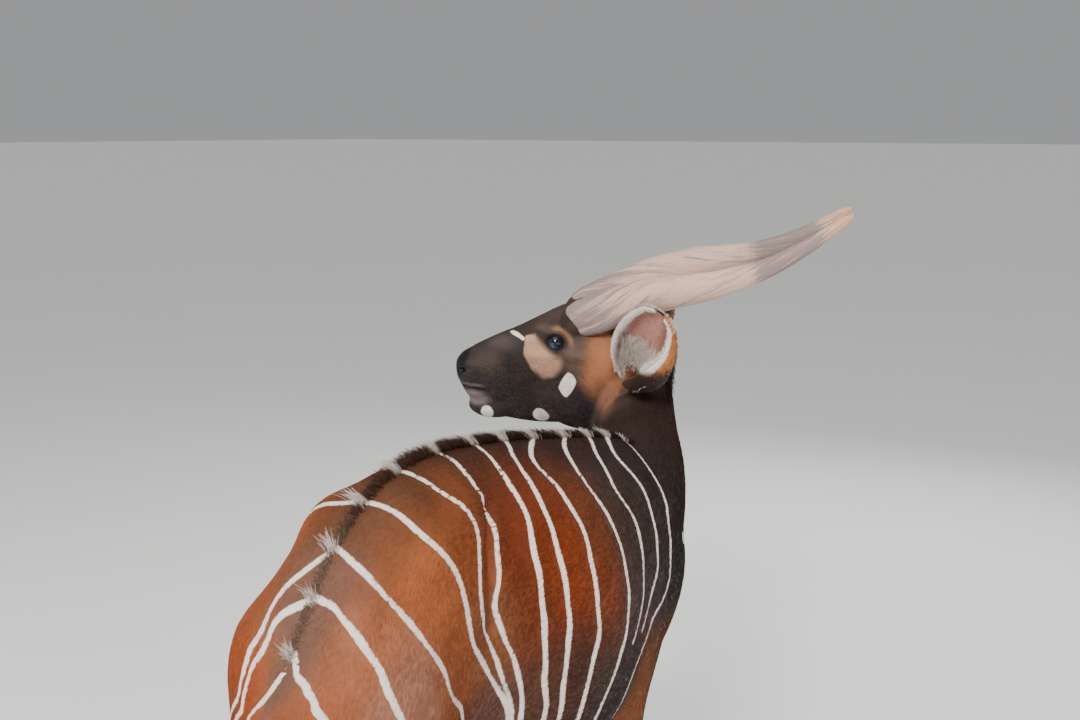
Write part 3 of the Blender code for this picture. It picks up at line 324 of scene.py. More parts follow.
# How far each stripe whitens the crest, then the length of its dark and of its white hair along y
CREST_REACHES = (
    .008, .009, .01, .011, .011, .011, .01, .01, .009, .008, .008, .007, .008,
)
DARK_CREST = (
    (-.29, .45), (-.2, .7), (0.0, .85), (.25, .95), (.42, .8), (.5, .5), (.6, .28), (.74, .22),
)
WHITE_CREST = (
    (-.29, .55), (-.1, .9), (.2, 1.2), (.42, 1.5), (.52, 1.35), (.6, .95), (.74, .85),
)
# Distances beyond the edge of a white mark: of a place far from any, and of hair that is white itself
FAR_FROM_WHITE = 0.2
WHITE_HAIR = -0.02
# The coat's depth on the head, the thickness of a lock by its width, and how many tufts a piece holds
HEAD_COAT_DEPTH = 0.0012
LOCK_FLATNESS = 0.45
TUFTS_PER_PIECE = 49000
FLOOR_HALF_SIZE = 150.0
SIDES = (("left", 1), ("right", -1))


class BongoSizes(bpy.types.PropertyGroup):
    """Sizes and colours that change the finish."""

    skin_cell: bpy.props.FloatProperty(
        name="Skin cell", description="Cell of the fused skin's remesh, on the head divided by the stretch",
        default=0.01008, unit="LENGTH")
    coat_depth: bpy.props.FloatProperty(
        name="Coat depth", description="How far the skin lies under the coat", default=0.003, unit="LENGTH")
    tufts: bpy.props.IntProperty(
        name="Tufts", description="Short tufts over the whole animal", default=220000)
    hair_length: bpy.props.FloatProperty(
        name="Hair length", description="Length of a tuft on the flank", default=0.011, unit="LENGTH")
    crest_length: bpy.props.FloatProperty(
        name="Crest length", description="Length of the hair along the back", default=0.046, unit="LENGTH")
    crest_hairs: bpy.props.IntProperty(
        name="Crest hairs", description="Locks along the back", default=8500)
    white: bpy.props.FloatVectorProperty(
        name="White", description="Colour of stripes and spots", default=(0.78, 0.68, 0.6), subtype="COLOR")
    horn_pale: bpy.props.FloatVectorProperty(
        name="Horn", description="Pale colour of the horns", default=(0.57, 0.355, 0.27), subtype="COLOR")
    horn_grey: bpy.props.FloatVectorProperty(
        name="Horn streaks", description="Grey of the horns' streaks",
        default=(0.145, 0.125, 0.13), subtype="COLOR")
    hoof_dark: bpy.props.FloatVectorProperty(
        name="Hoof", description="Colour of the hooves", default=(0.013, 0.011, 0.01), subtype="COLOR")


# Shapes as arrays

def unit(vectors):
    """Each vector divided by its own length."""
    return vectors / np.maximum(np.linalg.norm(vectors, axis=-1, keepdims=True), 1e-12)


def smooth(value, low, high):
    """3t^2 - 2t^3, where t runs from 0 at low to 1 at high."""
    t = np.clip((value - low) / (high - low), 0, 1)
    return t * t * (3 - 2 * t)


def bell(value, width):
    """exp(-(value / width)^2)."""
    return np.exp(-((value / width) ** 2))


def blend(base, other, share):
    """base (1 - share) + other share."""
    return base * (1 - share) + other * share


def over(tones, colour, share):
    """A colour laid over tones by a share at each point."""
    return blend(tones, np.asarray(colour), share[:, None])


def circle(count):
    """Angles evenly round a circle."""
    return np.linspace(0, 2 * np.pi, count, endpoint=False)


def tangent(vectors, normals):
    """Vectors less their parts along the normals."""
    return vectors - normals * np.sum(vectors * normals, 1, keepdims=True)


def interpolated(knots, values, at):
    """Cubic Hermite curve through the rows of values, with slopes from the neighbouring rows."""
    knots = np.asarray(knots, float)
    values = np.asarray(values, float)
    slopes = np.gradient(values, knots, axis=0)
    low = np.clip(np.searchsorted(knots, at, side="right") - 1, 0, len(knots) - 2)
    step = (knots[low + 1] - knots[low])[:, None]
    t = ((at - knots[low]) / step[:, 0])[:, None]
    start = (1 + 2 * t) * (1 - t) ** 2 * values[low] + t * (1 - t) ** 2 * step * slopes[low]
    end = t * t * (3 - 2 * t) * values[low + 1] + t * t * (t - 1) * step * slopes[low + 1]
    return start + end


def sections(rows, count):
    """Rows sampled evenly by their running length along the first three columns."""
    rows = np.asarray(rows, float)
    lengths = np.linalg.norm(np.diff(rows[:, :3], axis=0), axis=1)
    knots = np.concatenate([[0.0], np.cumsum(lengths)])
    return interpolated(knots, rows, np.linspace(0, knots[-1], count))


def rings(centres, sides, ups, widths, tops, bottoms, around, square_top=None, square_low=None):
    """Point (i, a) = centre_i + width_i |sin a|^p side_i + reach_i |cos a|^p up_i, p = 2 / squareness."""
    oval = np.full(len(centres), 2.0)
    square_top = oval if square_top is None else square_top
    square_low = oval if square_low is None else square_low
    sine = np.sin(circle(around))[None, :]
    cosine = np.cos(circle(around))[None, :]
    power = np.where(cosine >= 0, 2 / square_top[:, None], 2 / square_low[:, None])
    reach = np.where(cosine >= 0, tops[:, None], bottoms[:, None])
    across = widths[:, None] * np.sign(sine) * np.abs(sine) ** power
    along = reach * np.sign(cosine) * np.abs(cosine) ** power
    return centres[:, None, :] + across[..., None] * sides[:, None, :] + along[..., None] * ups[:, None, :]


def cells(strips, rows, columns):
    """Quads of a grid that closes round its columns, and round its rows too where strips = rows."""
    i, j = np.meshgrid(np.arange(strips), np.arange(columns), indexing="ij")
    k, m = (i + 1) % rows, (j + 1) % columns
    return np.stack([i * columns + j, i * columns + m, k * columns + m, k * columns + j], -1).reshape(-1, 4)


def tube(points):
    """Vertices, quads and end triangles of rings of points, with a middle point closing each end."""
    count, around = points.shape[:2]
    verts = np.concatenate([points.reshape(-1, 3), points[:1].mean(1), points[-1:].mean(1)])
    j = np.arange(around)
    k = (j + 1) % around
    first = np.stack([np.full(around, count * around), k, j], -1)
    end = (count - 1) * around
    last = np.stack([np.full(around, count * around + 1), end + j, end + k], -1)
    return verts, [cells(count - 1, count, around), np.concatenate([first, last])]


def closed(grid, side=None):
    """Rings of points as a closed shell, faces outwards; a side means that they are in the head's frame."""
    verts, faces = tube(grid)
    if side is not None:
        verts = from_head(verts, side)
    return verts, outward(verts, faces)


def outward(verts, faces):
    """The faces turned round if the volume that they enclose, the sum of a.(b x c)/6, is negative."""
    total = 0.0
    for group in faces:
        a = verts[group[:, 0]]
        for n in range(1, group.shape[1] - 1):
            total += np.sum(a * np.cross(verts[group[:, n]], verts[group[:, n + 1]]))
    return faces if total > 0 else [group[:, ::-1] for group in faces]


def put_mesh(name, verts, faces):
    """A smooth mesh object out of vertices and a list of face arrays, each with its own number of corners."""
    mesh = bpy.data.meshes.new(name)
    mesh.vertices.add(len(verts))
    mesh.vertices.foreach_set("co", np.ascontiguousarray(verts, dtype=np.float32).ravel())
    corners = np.concatenate([f.ravel() for f in faces]).astype(np.int32)
    sizes = np.concatenate([np.full(len(f), f.shape[1]) for f in faces]).astype(np.int32)
    mesh.loops.add(len(corners))
    mesh.loops.foreach_set("vertex_index", corners)
    mesh.polygons.add(len(sizes))
    mesh.polygons.foreach_set("loop_start", np.concatenate([[0], np.cumsum(sizes)[:-1]]).astype(np.int32))
    mesh.update(calc_edges=True)
    mesh.polygons.foreach_set("use_smooth", np.full(len(sizes), True))
    made = bpy.data.objects.new(name, mesh)
    bpy.context.scene.collection.objects.link(made)
    return made


def joined(parts):
    """Several (vertices, faces) put into one list of each, with the corner numbers shifted."""
    verts = []
    by_size = {}
    total = 0
    for part_verts, part_faces in parts:
        verts.append(part_verts)
        for group in part_faces:
            by_size.setdefault(group.shape[1], []).append(group + total)
        total += len(part_verts)
    return np.concatenate(verts), [np.concatenate(groups) for groups in by_size.values()]


def turned(z, y, x):
    """The rotation Rz Ry Rx of angles in degrees."""
    z, y, x = np.radians([z, y, x])
    about_z = np.array([[math.cos(z), -math.sin(z), 0], [math.sin(z), math.cos(z), 0], [0, 0, 1]])
    about_y = np.array([[math.cos(y), 0, math.sin(y)], [0, 1, 0], [-math.sin(y), 0, math.cos(y)]])
    about_x = np.array([[1, 0, 0], [0, math.cos(x), -math.sin(x)], [0, math.sin(x), math.cos(x)]])
    return about_z @ about_y @ about_x


HEAD_TURN = turned(*HEAD_TURNS)
EYE_LOOKS = EYE_LOOKS / np.linalg.norm(EYE_LOOKS)
# The eye's upright direction and the one along its corners, both square to its line of sight
EYE_TALL = unit(np.array([0.0, 0.0, 1.0]) - EYE_LOOKS * EYE_LOOKS[2])
EYE_WIDE = np.cross(EYE_TALL, EYE_LOOKS)


def from_head(points, side=1):
    """Points of the head's frame in the animal's; side -1 mirrors them first."""
    return (np.asarray(points, float) * [1, side, 1]) @ HEAD_TURN.T + POLL


def to_head(points):
    """Points of the animal's frame in the head's."""
    return (points - POLL) @ HEAD_TURN


def to_half_head(points):
    """Points in the head's frame, with those of its right half mirrored onto the left one."""
    q = to_head(points)
    q[:, 1] = np.abs(q[:, 1])
    return q


def way_from_head(ways, side):
    """Directions of the head's frame in the animal's, at length 1; side -1 mirrors them first."""
    return (unit(ways) * [1, side, 1]) @ HEAD_TURN.T


# The frame's box is centred over the origin, so the animal's own frame is moved by the eye's known place.
EYE_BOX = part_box("eye_left")
MOVE = (np.array(EYE_BOX[0]) + np.array(EYE_BOX[1])) / 2 - from_head(EYE_CENTRE)
MOVE[2] = 0.0


def ball(centre, radii, turns=(0, 0, 0), up=28, around=36):
    """An ellipsoid: rings of radius sin t at height cos t, scaled by the radii, turned and moved."""
    t = np.linspace(0.06, np.pi - 0.06, up)
    a = circle(around)
    grid = np.stack([np.sin(t)[:, None] * np.cos(a), np.sin(t)[:, None] * np.sin(a),
                     np.repeat(np.cos(t)[:, None], around, 1)], -1)
    verts, faces = tube(grid)
    verts = (verts * radii) @ turned(*turns[::-1]).T + centre
    return verts, outward(verts, faces)


def stations(rows, count, sign=1):
    """Rows sampled evenly in their first column, which falls where sign is -1."""
    rows = np.asarray(rows, float)
    at = np.linspace(rows[0, 0], rows[-1, 0], count)
    return at, interpolated(sign * rows[:, 0], rows, sign * at)


def trunk_shape(count=110, around=96):
    """The trunk: upright superellipse rings along the curved line of the back."""
    _, table = stations(TRUNK, count, -1)
    centres = np.stack([table[:, 1], table[:, 0], table[:, 4]], 1)
    heading = np.gradient(centres, axis=0) * [1, 1, 0]
    ups = np.tile([0.0, 0.0, 1.0], (count, 1))
    return closed(rings(centres, np.cross(ups, unit(heading)), ups, table[:, 5], table[:, 2] - table[:, 4],
                        table[:, 4] - table[:, 3], around, table[:, 6], table[:, 7]))


def neck_line(count):
    """Rows along the neck, with the directions to the nape and to the side."""
    table = sections(NECK, count)
    ahead = unit(np.gradient(table[:, :3], axis=0))
    ups = unit(tangent(table[:, 6:9], ahead))
    return table, ups, np.cross(ups, ahead)


def neck_shape(count=60, around=72):
    """The neck: oval rings along a path, with their own reach to the nape and to the throat."""
    table, ups, sides = neck_line(count)
    return closed(rings(table[:, :3], sides, ups, table[:, 3], table[:, 4], table[:, 5], around))


def head_shape(count=120, around=96):
    """The head: upright superellipse rings from the nape to the nose."""
    at, table = stations(HEAD, count)
    centres = np.stack([at, np.zeros(count), table[:, 3]], 1)
    ups = np.tile([0.0, 0.0, 1.0], (count, 1))
    sides = np.tile([0.0, 1.0, 0.0], (count, 1))
    return closed(rings(centres, sides, ups, table[:, 4], table[:, 1] - table[:, 3],
                        table[:, 3] - table[:, 2], around, table[:, 5], table[:, 6]), 1)


def leg_line(rows, ahead, top, foot, heights):
    """The middle of a leg at some heights: the line from foot to top, shifted ahead by the table."""
    rows = np.asarray(rows, float)
    table = interpolated(-rows[:, 1], rows, -np.asarray(heights, float))
    ahead = np.array([ahead[0], ahead[1], 0.0])
    share = (np.asarray(heights, float) / LEG_TOP_HEIGHT)[:, None]
    plan = np.array(foot) * (1 - share) + np.array(top) * share
    return np.concatenate([plan, np.asarray(heights, float)[:, None]], 1) + table[:, :1] * ahead, table


def leg_shape(rows, ahead, top, foot, count=120, around=48):
    """A leg: level oval rings down its line, from inside the trunk to inside the hoof."""
    centres, table = leg_line(rows, ahead, top, foot, np.linspace(rows[0][1], rows[-1][1], count))
    forward = np.tile([ahead[0], ahead[1], 0.0], (count, 1))
    side = np.tile([-ahead[1], ahead[0], 0.0], (count, 1))
    return closed(rings(centres, side, forward, table[:, 2], table[:, 3], table[:, 4], around))


def tail_shape(count=60, around=28):
    """The tail's flesh: round rings along its hanging path."""
    table = sections(TAIL, count)
    radius = table[:, 3]
    ahead = unit(np.gradient(table[:, :3], axis=0))
    sides = unit(np.cross(ahead, np.tile([0.0, 1.0, 0.02], (count, 1))))
    return closed(rings(table[:, :3], sides, np.cross(sides, ahead), radius, radius, radius, around))


# Radii before and after the stretch round the head, which gives the head finer cells
HEAD_STRETCH = 2.8
STRETCH_FROM = np.array([0.0, 0.27, 1.6, 9.0])
STRETCH_TO = np.array([0.0, 0.27 * HEAD_STRETCH, 1.6, 9.0])


def stretched(points, back=False):
    """Each point moved along its ray from the head's middle, from a distance r to f(r), or back."""
    middle = from_head(HEAD_MIDDLE)
    away = points - middle
    far = np.maximum(np.linalg.norm(away, axis=1, keepdims=True), 1e-9)
    knots = (STRETCH_TO, STRETCH_FROM) if back else (STRETCH_FROM, STRETCH_TO)
    return middle + away / far * np.interp(far, *knots)


def relaxed(points, edges, share, rounds):
    """In each round a point moves by its share of the way to the mean of its neighbours."""
    a, b = edges[:, 0], edges[:, 1]
    size = len(points)
    degree = np.maximum(np.bincount(a, minlength=size) + np.bincount(b, minlength=size), 1)
    points = points.copy()
    for _ in range(rounds):
        mean = np.stack([np.bincount(a, points[b, c], size) + np.bincount(b, points[a, c], size)
                         for c in range(3)], 1) / degree[:, None]
        points += share[:, None] * (mean - points)
    return points


def read_rows(items, field, width, kind=np.float32):
    """A field of every item, as rows of numbers."""
    values = np.empty(len(items) * width, kind)
    items.foreach_get(field, values)
    return values.reshape(-1, width)


def vertex_normals(mesh):
    """The direction out of the mesh at every vertex."""
    return read_rows(mesh.vertex_normals, "vector", 3).astype(float)


def line_distance(points, line):
    """Distance from each point to a line of straight pieces, and how far along it, from 0 to 1."""
    line = np.asarray(line, float)
    best = np.full(len(points), 9.0)
    place = np.zeros(len(points))
    for n in range(len(line) - 1):
        start, step = line[n], line[n + 1] - line[n]
        t = np.clip((points - start) @ step / (step @ step), 0, 1)
        far = np.linalg.norm(points - start - t[:, None] * step, axis=1)
        place = np.where(far < best, (n + t) / (len(line) - 1), place)
        best = np.minimum(far, best)
    return best, place


def outlined(points, outline):
    """Distance beyond a closed outline, negative inside, where a ray crosses it an odd number of times."""
    outline = np.array(outline)
    far = line_distance(points, np.concatenate([outline, outline[:1]]))[0]
    a, b = outline[None], np.roll(outline, -1, 0)[None]
    x, z = points[:, :1], points[:, 1:]
    across = (a[..., 1] > z) != (b[..., 1] > z)
    rise = np.where(b[..., 1] == a[..., 1], 1, b[..., 1] - a[..., 1])
    at = a[..., 0] + (z - a[..., 1]) * (b[..., 0] - a[..., 0]) / rise
    return np.where(np.sum(across & (at > x), 1) % 2 == 1, -far, far)


def trunk_place(points):
    """(angle in degrees from the back, positive on the right; distance from the trunk's axis)."""
    rows = np.asarray(TRUNK, float)[::-1]
    middle = np.interp(points[:, 1], rows[:, 0], rows[:, 1])
    across = -(points[:, 0] - middle)
    up = points[:, 2] - 0.93
    return np.degrees(np.arctan2(across, up)), np.hypot(across, up)


def on_head(points):
    """1 on the head and 0 on the body, with a soft border across the throat and the poll."""
    q = to_head(points)
    normal = unit(np.array([0.832, 0.0, 0.555]))
    past = (q - [0.0, 0.0, -0.187]) @ normal
    near = 1 - smooth(np.abs(q[:, 1]), 0.115, 0.15)
    return smooth(past, -0.022, 0.022) * near * smooth(q[:, 2], -0.4, -0.36) * smooth(q[:, 0], -0.16, -0.1)


# Markings as functions of place

def striped(points, normals):
    """Distance beyond the edge of the nearest stripe of the trunk, negative inside it.

    A stripe is the line f = y - s(angle) = 0, and the distance is |f| / |grad f| less the half width.
    The gradient is (0, 1, 0) - s' / r round the trunk, less its part along the skin's normal.
    """
    angle, radius = trunk_place(points)
    size = np.abs(angle)
    turn = np.radians(angle)
    round_it = np.stack([-np.cos(turn), np.zeros(len(turn)), -np.sin(turn)], 1)
    best = np.full(len(points), FAR_FROM_WHITE)
    waver = 0.0009 * np.sin(angle * 0.3 + points[:, 1] * 30)
    fine = np.arange(0, 181.0)
    for number, (right, widths, end) in enumerate(STRIPES):
        found = []
        for line, sign in ((right, 1), (LEFT_STRIPES.get(number, right), -1)):
            curve = interpolated(STRIPE_ANGLES, np.array(line)[:, None], np.minimum(fine, 150.0))[:, 0]
            slope = np.gradient(curve, np.radians(1.0))
            found.append((np.interp(size, fine, curve), sign * np.interp(size, fine, slope)))
        at, slope = [np.where(angle >= 0, a, b) for a, b in zip(*found)]
        rise = np.array([0.0, 1.0, 0.0]) - (slope / np.maximum(radius, 0.08))[:, None] * round_it
        steep = np.linalg.norm(tangent(rise, normals), axis=1)
        width = np.interp(size, (0, 60, 120), widths) * (1 + 0.12 * np.sin(size * 0.21 + number * 1.7))
        gap = np.abs(points[:, 1] - at - waver) / np.maximum(steep, 0.22)
        best = np.minimum(best, gap - width + np.maximum(size - end, 0) * 0.004)
    return best + (1 - smooth(points[:, 2], 0.6, 0.66)) * 0.05


def trunk_tone(points):
    """Colour of the trunk, partly painted sheen: the table's colours weighted by exp(-d^2), d in units of
    0.055 m and 20 degrees.

    The left rump is a deeper red than the same place on the right.
    """
    angle, _ = trunk_place(points)
    table = np.asarray(TRUNK_TONES_AND_SHEEN, float)
    far = ((points[:, 1:2] - table[:, 0]) / 0.055) ** 2 + ((np.abs(angle)[:, None] - table[:, 1]) / 20.0) ** 2
    weight = np.exp(-np.minimum(far, 60.0)) + 1e-9 / (1 + far)
    tone = weight @ table[:, 2:5] / weight.sum(1, keepdims=True)
    left_rump = (smooth(-angle, 10, 50) * smooth(points[:, 1], 0.45, 0.58))[:, None]
    return tone * (1 - left_rump * [0.12, 0.32, 0.48])


def leg_tone(points):
    """Colour and white distance of the legs: chestnut above, dark below, with pale bands at the joints."""
    z = points[:, 2]
    dark = np.array([.022, .016, .014])
    tone = over(np.array([.075, .035, .02]), (.2, .065, .024), smooth(z, 0.36, 0.62))
    tone = over(tone, dark, 0.6 * (1 - smooth(z, 0.15, 0.34)))
    best = np.full(len(points), FAR_FROM_WHITE)
    nearest = np.full(len(points), 9.0)
    for rows, ahead, top, foot in LEGS.values():
        away = points - leg_line(rows, ahead, top, foot, np.clip(z, 0.036, 0.95))[0]
        far = np.hypot(away[:, 0], away[:, 1])
        front = away[:, :2] @ np.array(ahead)
        beside = away[:, :2] @ np.array([-ahead[1], ahead[0]])
        inward = away[:, 0] * (1.0 if foot[0] < 0 else -1.0)
        knee = 0.4 if rows is FORELEG else 0.5
        ragged = 0.002 * np.sin(away[:, 0] * 330 + z * 90) + 0.0015 * np.sin(z * 410 - front * 120)
        band = np.hypot(z - 0.106 - 0.35 * np.abs(beside), beside * 0.55) - 0.0165
        band = band + ragged + np.maximum(0.004 - front, 0)
        patch = np.hypot((z - knee) / 1.9, front - 0.006) - 0.024 + ragged
        patch = np.maximum(patch, 0.007 - inward)
        mine = far < nearest
        best = np.where(mine, np.minimum(band, patch), best)
        tone = over(tone, dark, mine * 0.5 * bell(z - knee + 0.1, 0.045) * smooth(front, -0.02, 0.02))
        nearest = np.minimum(far, nearest)
    return tone, best


def oval_distance(points, centre, radii):
    """Distance from a centre in units of the radii."""
    return np.linalg.norm((points - centre) / radii, axis=1)


def head_marks(points):
    """Colour, white distance and bareness of the head, from patches over one another, with painted sheen and
    highlight, and painted shade in the creases, the mouth's slit and the nostrils.
    """
    q = to_half_head(points)
    tone = over(np.array([.034, .022, .018]), (.03, .021, .019), smooth(q[:, 0], 0.24, 0.32))
    for centre, radii, soft, colour, amount in HEAD_PATCHES_AND_HIGHLIGHTS:
        far = oval_distance(q, centre, radii)
        tone = over(tone, colour, (1 - smooth(far, 1 - soft, 1 + soft * 0.6)) * amount)
    soft = smooth(-q[:, 0], -0.262, -0.235)
    beyond = outlined(q[:, [0, 2]], TAN_OUTLINE) + 0.002 * soft
    tan = (1 - smooth(beyond, -0.001 - 0.012 * soft, 0.002 + 0.007 * soft)) * smooth(q[:, 1], 0.025, 0.04)
    lower = smooth(-q[:, 2] + 0.3 * q[:, 0], 0.195, 0.225)
    tone = over(tone, over(np.array(TAN_UPPER), TAN_LOWER, lower), tan)
    eye = oval_distance(q, EYE_CENTRE + EYE_LOOKS * 0.014, (0.027, 0.034, 0.0235))
    tone = over(tone, (.022, .015, .013), (1 - smooth(eye, 0.86, 1.12)) * 0.95)
    centre, radius, thick, colour = EYE_RING
    away = q - centre
    share = bell(np.hypot(away[:, 0], away[:, 2]) - radius, thick)
    share = share * smooth(0.83 * away[:, 2] - 0.55 * away[:, 0], 0.006, 0.028) * smooth(q[:, 1], 0.02, 0.04)
    tone = over(tone, colour, share * 0.9)
    white = np.full(len(q), FAR_FROM_WHITE)
    for line, width in HEAD_LINES:
        white = np.minimum(white, line_distance(q, line)[0] - width)
    for centre, radii, power, lean in HEAD_SPOTS:
        away = q - centre
        away[:, 2] += lean * away[:, 0]
        far = np.sum(np.abs(away / radii) ** power, axis=1) ** (1 / power)
        white = np.minimum(white, (far - 1) * min(radii) * 0.8)
    # Painted shade darkens each crease along its line
    for line, width, _, amount in HEAD_CREASES:
        tone = tone * (1 - amount * bell(line_distance(q, line)[0], width))[:, None]
    mouth = line_distance(q, MOUTH)[0]
    # Painted shade: the slit of the mouth between the lips is painted near black
    tone = over(tone, (.006, .005, .006), 1 - smooth(mouth, 0.0015, 0.0055))
    bare = smooth(q[:, 0] + 0.25 * (q[:, 2] + 0.19), 0.412, 0.426) * smooth(q[:, 2], -0.224, -0.212)
    nostril = 1 - smooth(oval_distance(q, (0.422, 0.034, -0.187), (0.013, 0.014, 0.0075)), 0.6, 1.15)
    bare = np.maximum(bare, nostril)
    # The bare nose keeps its own near-black; the nostrils are darkened further with painted shade inside the
    # openings
    tone = over(tone, (.006, .0056, .0072), bare) * (1 - 0.9 * nostril[:, None])
    eye = oval_distance(q, EYE_CENTRE + EYE_LOOKS * 0.012, (0.024, 0.03, 0.021))
    bare = np.maximum(bare, 0.6 * (1 - smooth(eye, 0.8, 1.05)))
    white = np.where((mouth < 0.003) | (bare > 0.3), 0.05, white)
    return tone, white, bare


def marked(points, normals):
    """Colour, white distance and bareness anywhere: trunk, neck, legs, tail and head blended softly."""
    _, y, z = points.T
    legs, leg_white = leg_tone(points)
    tone = over(trunk_tone(points), legs, 1 - smooth(z, 0.58, 0.74))
    white = np.where(z < 0.585, leg_white, striped(points, normals))
    neck = smooth(-y, 0.3, 0.42) * smooth(z, 0.98, 1.12)
    neck = np.maximum(neck, smooth(z, 1.2, 1.27) * smooth(-y, 0.27, 0.33))
    tone = over(tone, (.028, .014, .01), neck)
    white = white + neck * 0.06
    for line, width in BODY_WHITES:
        white = np.minimum(white, line_distance(points, line)[0] - width)
    behind = smooth(y, 0.812, 0.824) * (1 - smooth(z, 0.94, 1.0))
    tone = over(tone, (.16, .055, .022), behind)
    white = white + behind * 0.05
    head = on_head(points)
    head_tone, head_white, bare = head_marks(points)
    tone = over(tone, head_tone, head)
    white = np.where(head > 0.5, head_white, white)
    q = to_half_head(points)
    # Painted shade: the throat is darkened along the fold behind the jaw
    behind = smooth(-(q[:, 0] + 0.55 * (q[:, 2] + 0.19) - 0.042), -0.006, 0.006)
    tone = over(tone, (.016, .01, .009), bell(line_distance(q, THROAT_FOLD)[0], 0.02) * behind * 0.85)
    patch = 1 + 0.1 * np.sin(points @ [31, 17, 23]) * np.sin(points @ [-13, 29, 37] + 1.3)
    return tone * patch[:, None], white, bare * head


def lying(points, normals):
    """Direction of the hair: the table's directions weighted by exp(-d^2), laid into the surface."""
    lies = np.array(LIES, float)
    far = np.linalg.norm(points[:, None, :] - lies[:, 0], axis=2)
    way = unit((bell(far, 0.11) + 1e-6 / (0.01 + far ** 2)) @ unit(lies[:, 1]))
    way = over(way, (0, 0, -1.0), 1 - smooth(points[:, 2], 0.6, 0.72))
    q = to_head(points)
    side = np.sign(q[:, 1:2])
    ones = np.ones_like(side)
    back = np.concatenate([-ones, 0.15 * side, -0.25 - 1.2 * np.clip(-q[:, 2:3] - 0.14, 0, 0.2)], 1)
    eye = q - EYE_CENTRE * np.concatenate([ones, side, ones], 1)
    back = back + eye / 0.03 * np.exp(-np.sum(eye ** 2, 1) / 0.03 ** 2)[:, None]
    way = over(way, unit(back) @ HEAD_TURN.T, on_head(points))
    return unit(tangent(way, normals))


def unwrapped(points):
    """Place on a flat layout of the skin: each region's length and angle fill a cell of their own."""
    x, y, z = points.T
    def round_share(x, y):
        return (np.arctan2(x, y) + np.pi) / (2 * np.pi)

    u = 0.02 + 0.54 * (y + 0.55) / 1.45
    v = 0.02 + 0.44 * (trunk_place(points)[0] + 180) / 360
    low = z < 0.6
    for number, leg in enumerate(LEGS.values()):
        away = points - leg_line(*leg, np.clip(z, 0.036, 0.95))[0]
        mine = low & (np.hypot(away[:, 0], away[:, 1]) < 0.1)
        u = np.where(mine, 0.02 + 0.235 * number + 0.2 * round_share(away[:, 0], away[:, 1]), u)
        v = np.where(mine, 0.5 + 0.22 * z / 0.6, v)
    tail = (y > 0.812) & (z < 0.96)
    u = np.where(tail, 0.6 + 0.06 * round_share(x + 0.066, y - 0.842), u)
    v = np.where(tail, 0.02 + 0.44 * (z - 0.4) / 0.56, v)
    q = to_head(points)
    head = on_head(points) > 0.5
    u = np.where(head, 0.02 + 0.6 * (q[:, 0] + 0.12) / 0.6, u)
    v = np.where(head, 0.75 + 0.23 * round_share(q[:, 1], q[:, 2] + 0.16), v)
    neck = ~head & (y < -0.27) & (z > 1.02) & ~low
    u = np.where(neck, 0.7 + 0.26 * round_share(x - 0.02, y + 0.42), u)
    v = np.where(neck, 0.02 + 0.44 * (z - 1.0) / 0.55, v)
    return np.stack([np.clip(u, 0.004, 0.996), np.clip(v, 0.004, 0.996)], 1)


# Attributes and materials

def set_values(mesh, name, kind, values):
    """A value for each vertex under a name."""
    layer = mesh.attributes.new(name, kind, "POINT")
    field = {"FLOAT": "value", "FLOAT_VECTOR": "vector", "FLOAT_COLOR": "color"}[kind]
    if kind == "FLOAT_COLOR":
        values = np.concatenate([values, np.ones((len(values), 1))], 1)
    layer.data.foreach_set(field, np.ascontiguousarray(values, dtype=np.float32).ravel())


def new_group(name, inputs, outputs):
    """A node group with sockets of the given kinds and defaults, its nodes, and the values given to it."""
    group = bpy.data.node_groups.new(name, "ShaderNodeTree")
    for direction, wanted in (("INPUT", inputs), ("OUTPUT", outputs)):
        for label, kind, *default in wanted:
            made = group.interface.new_socket(name=label, in_out=direction, socket_type="NodeSocket" + kind)
            if default:
                made.default_value = default[0]
    n = Nodes(group)
    return group, n, n.add("NodeGroupInput").outputs


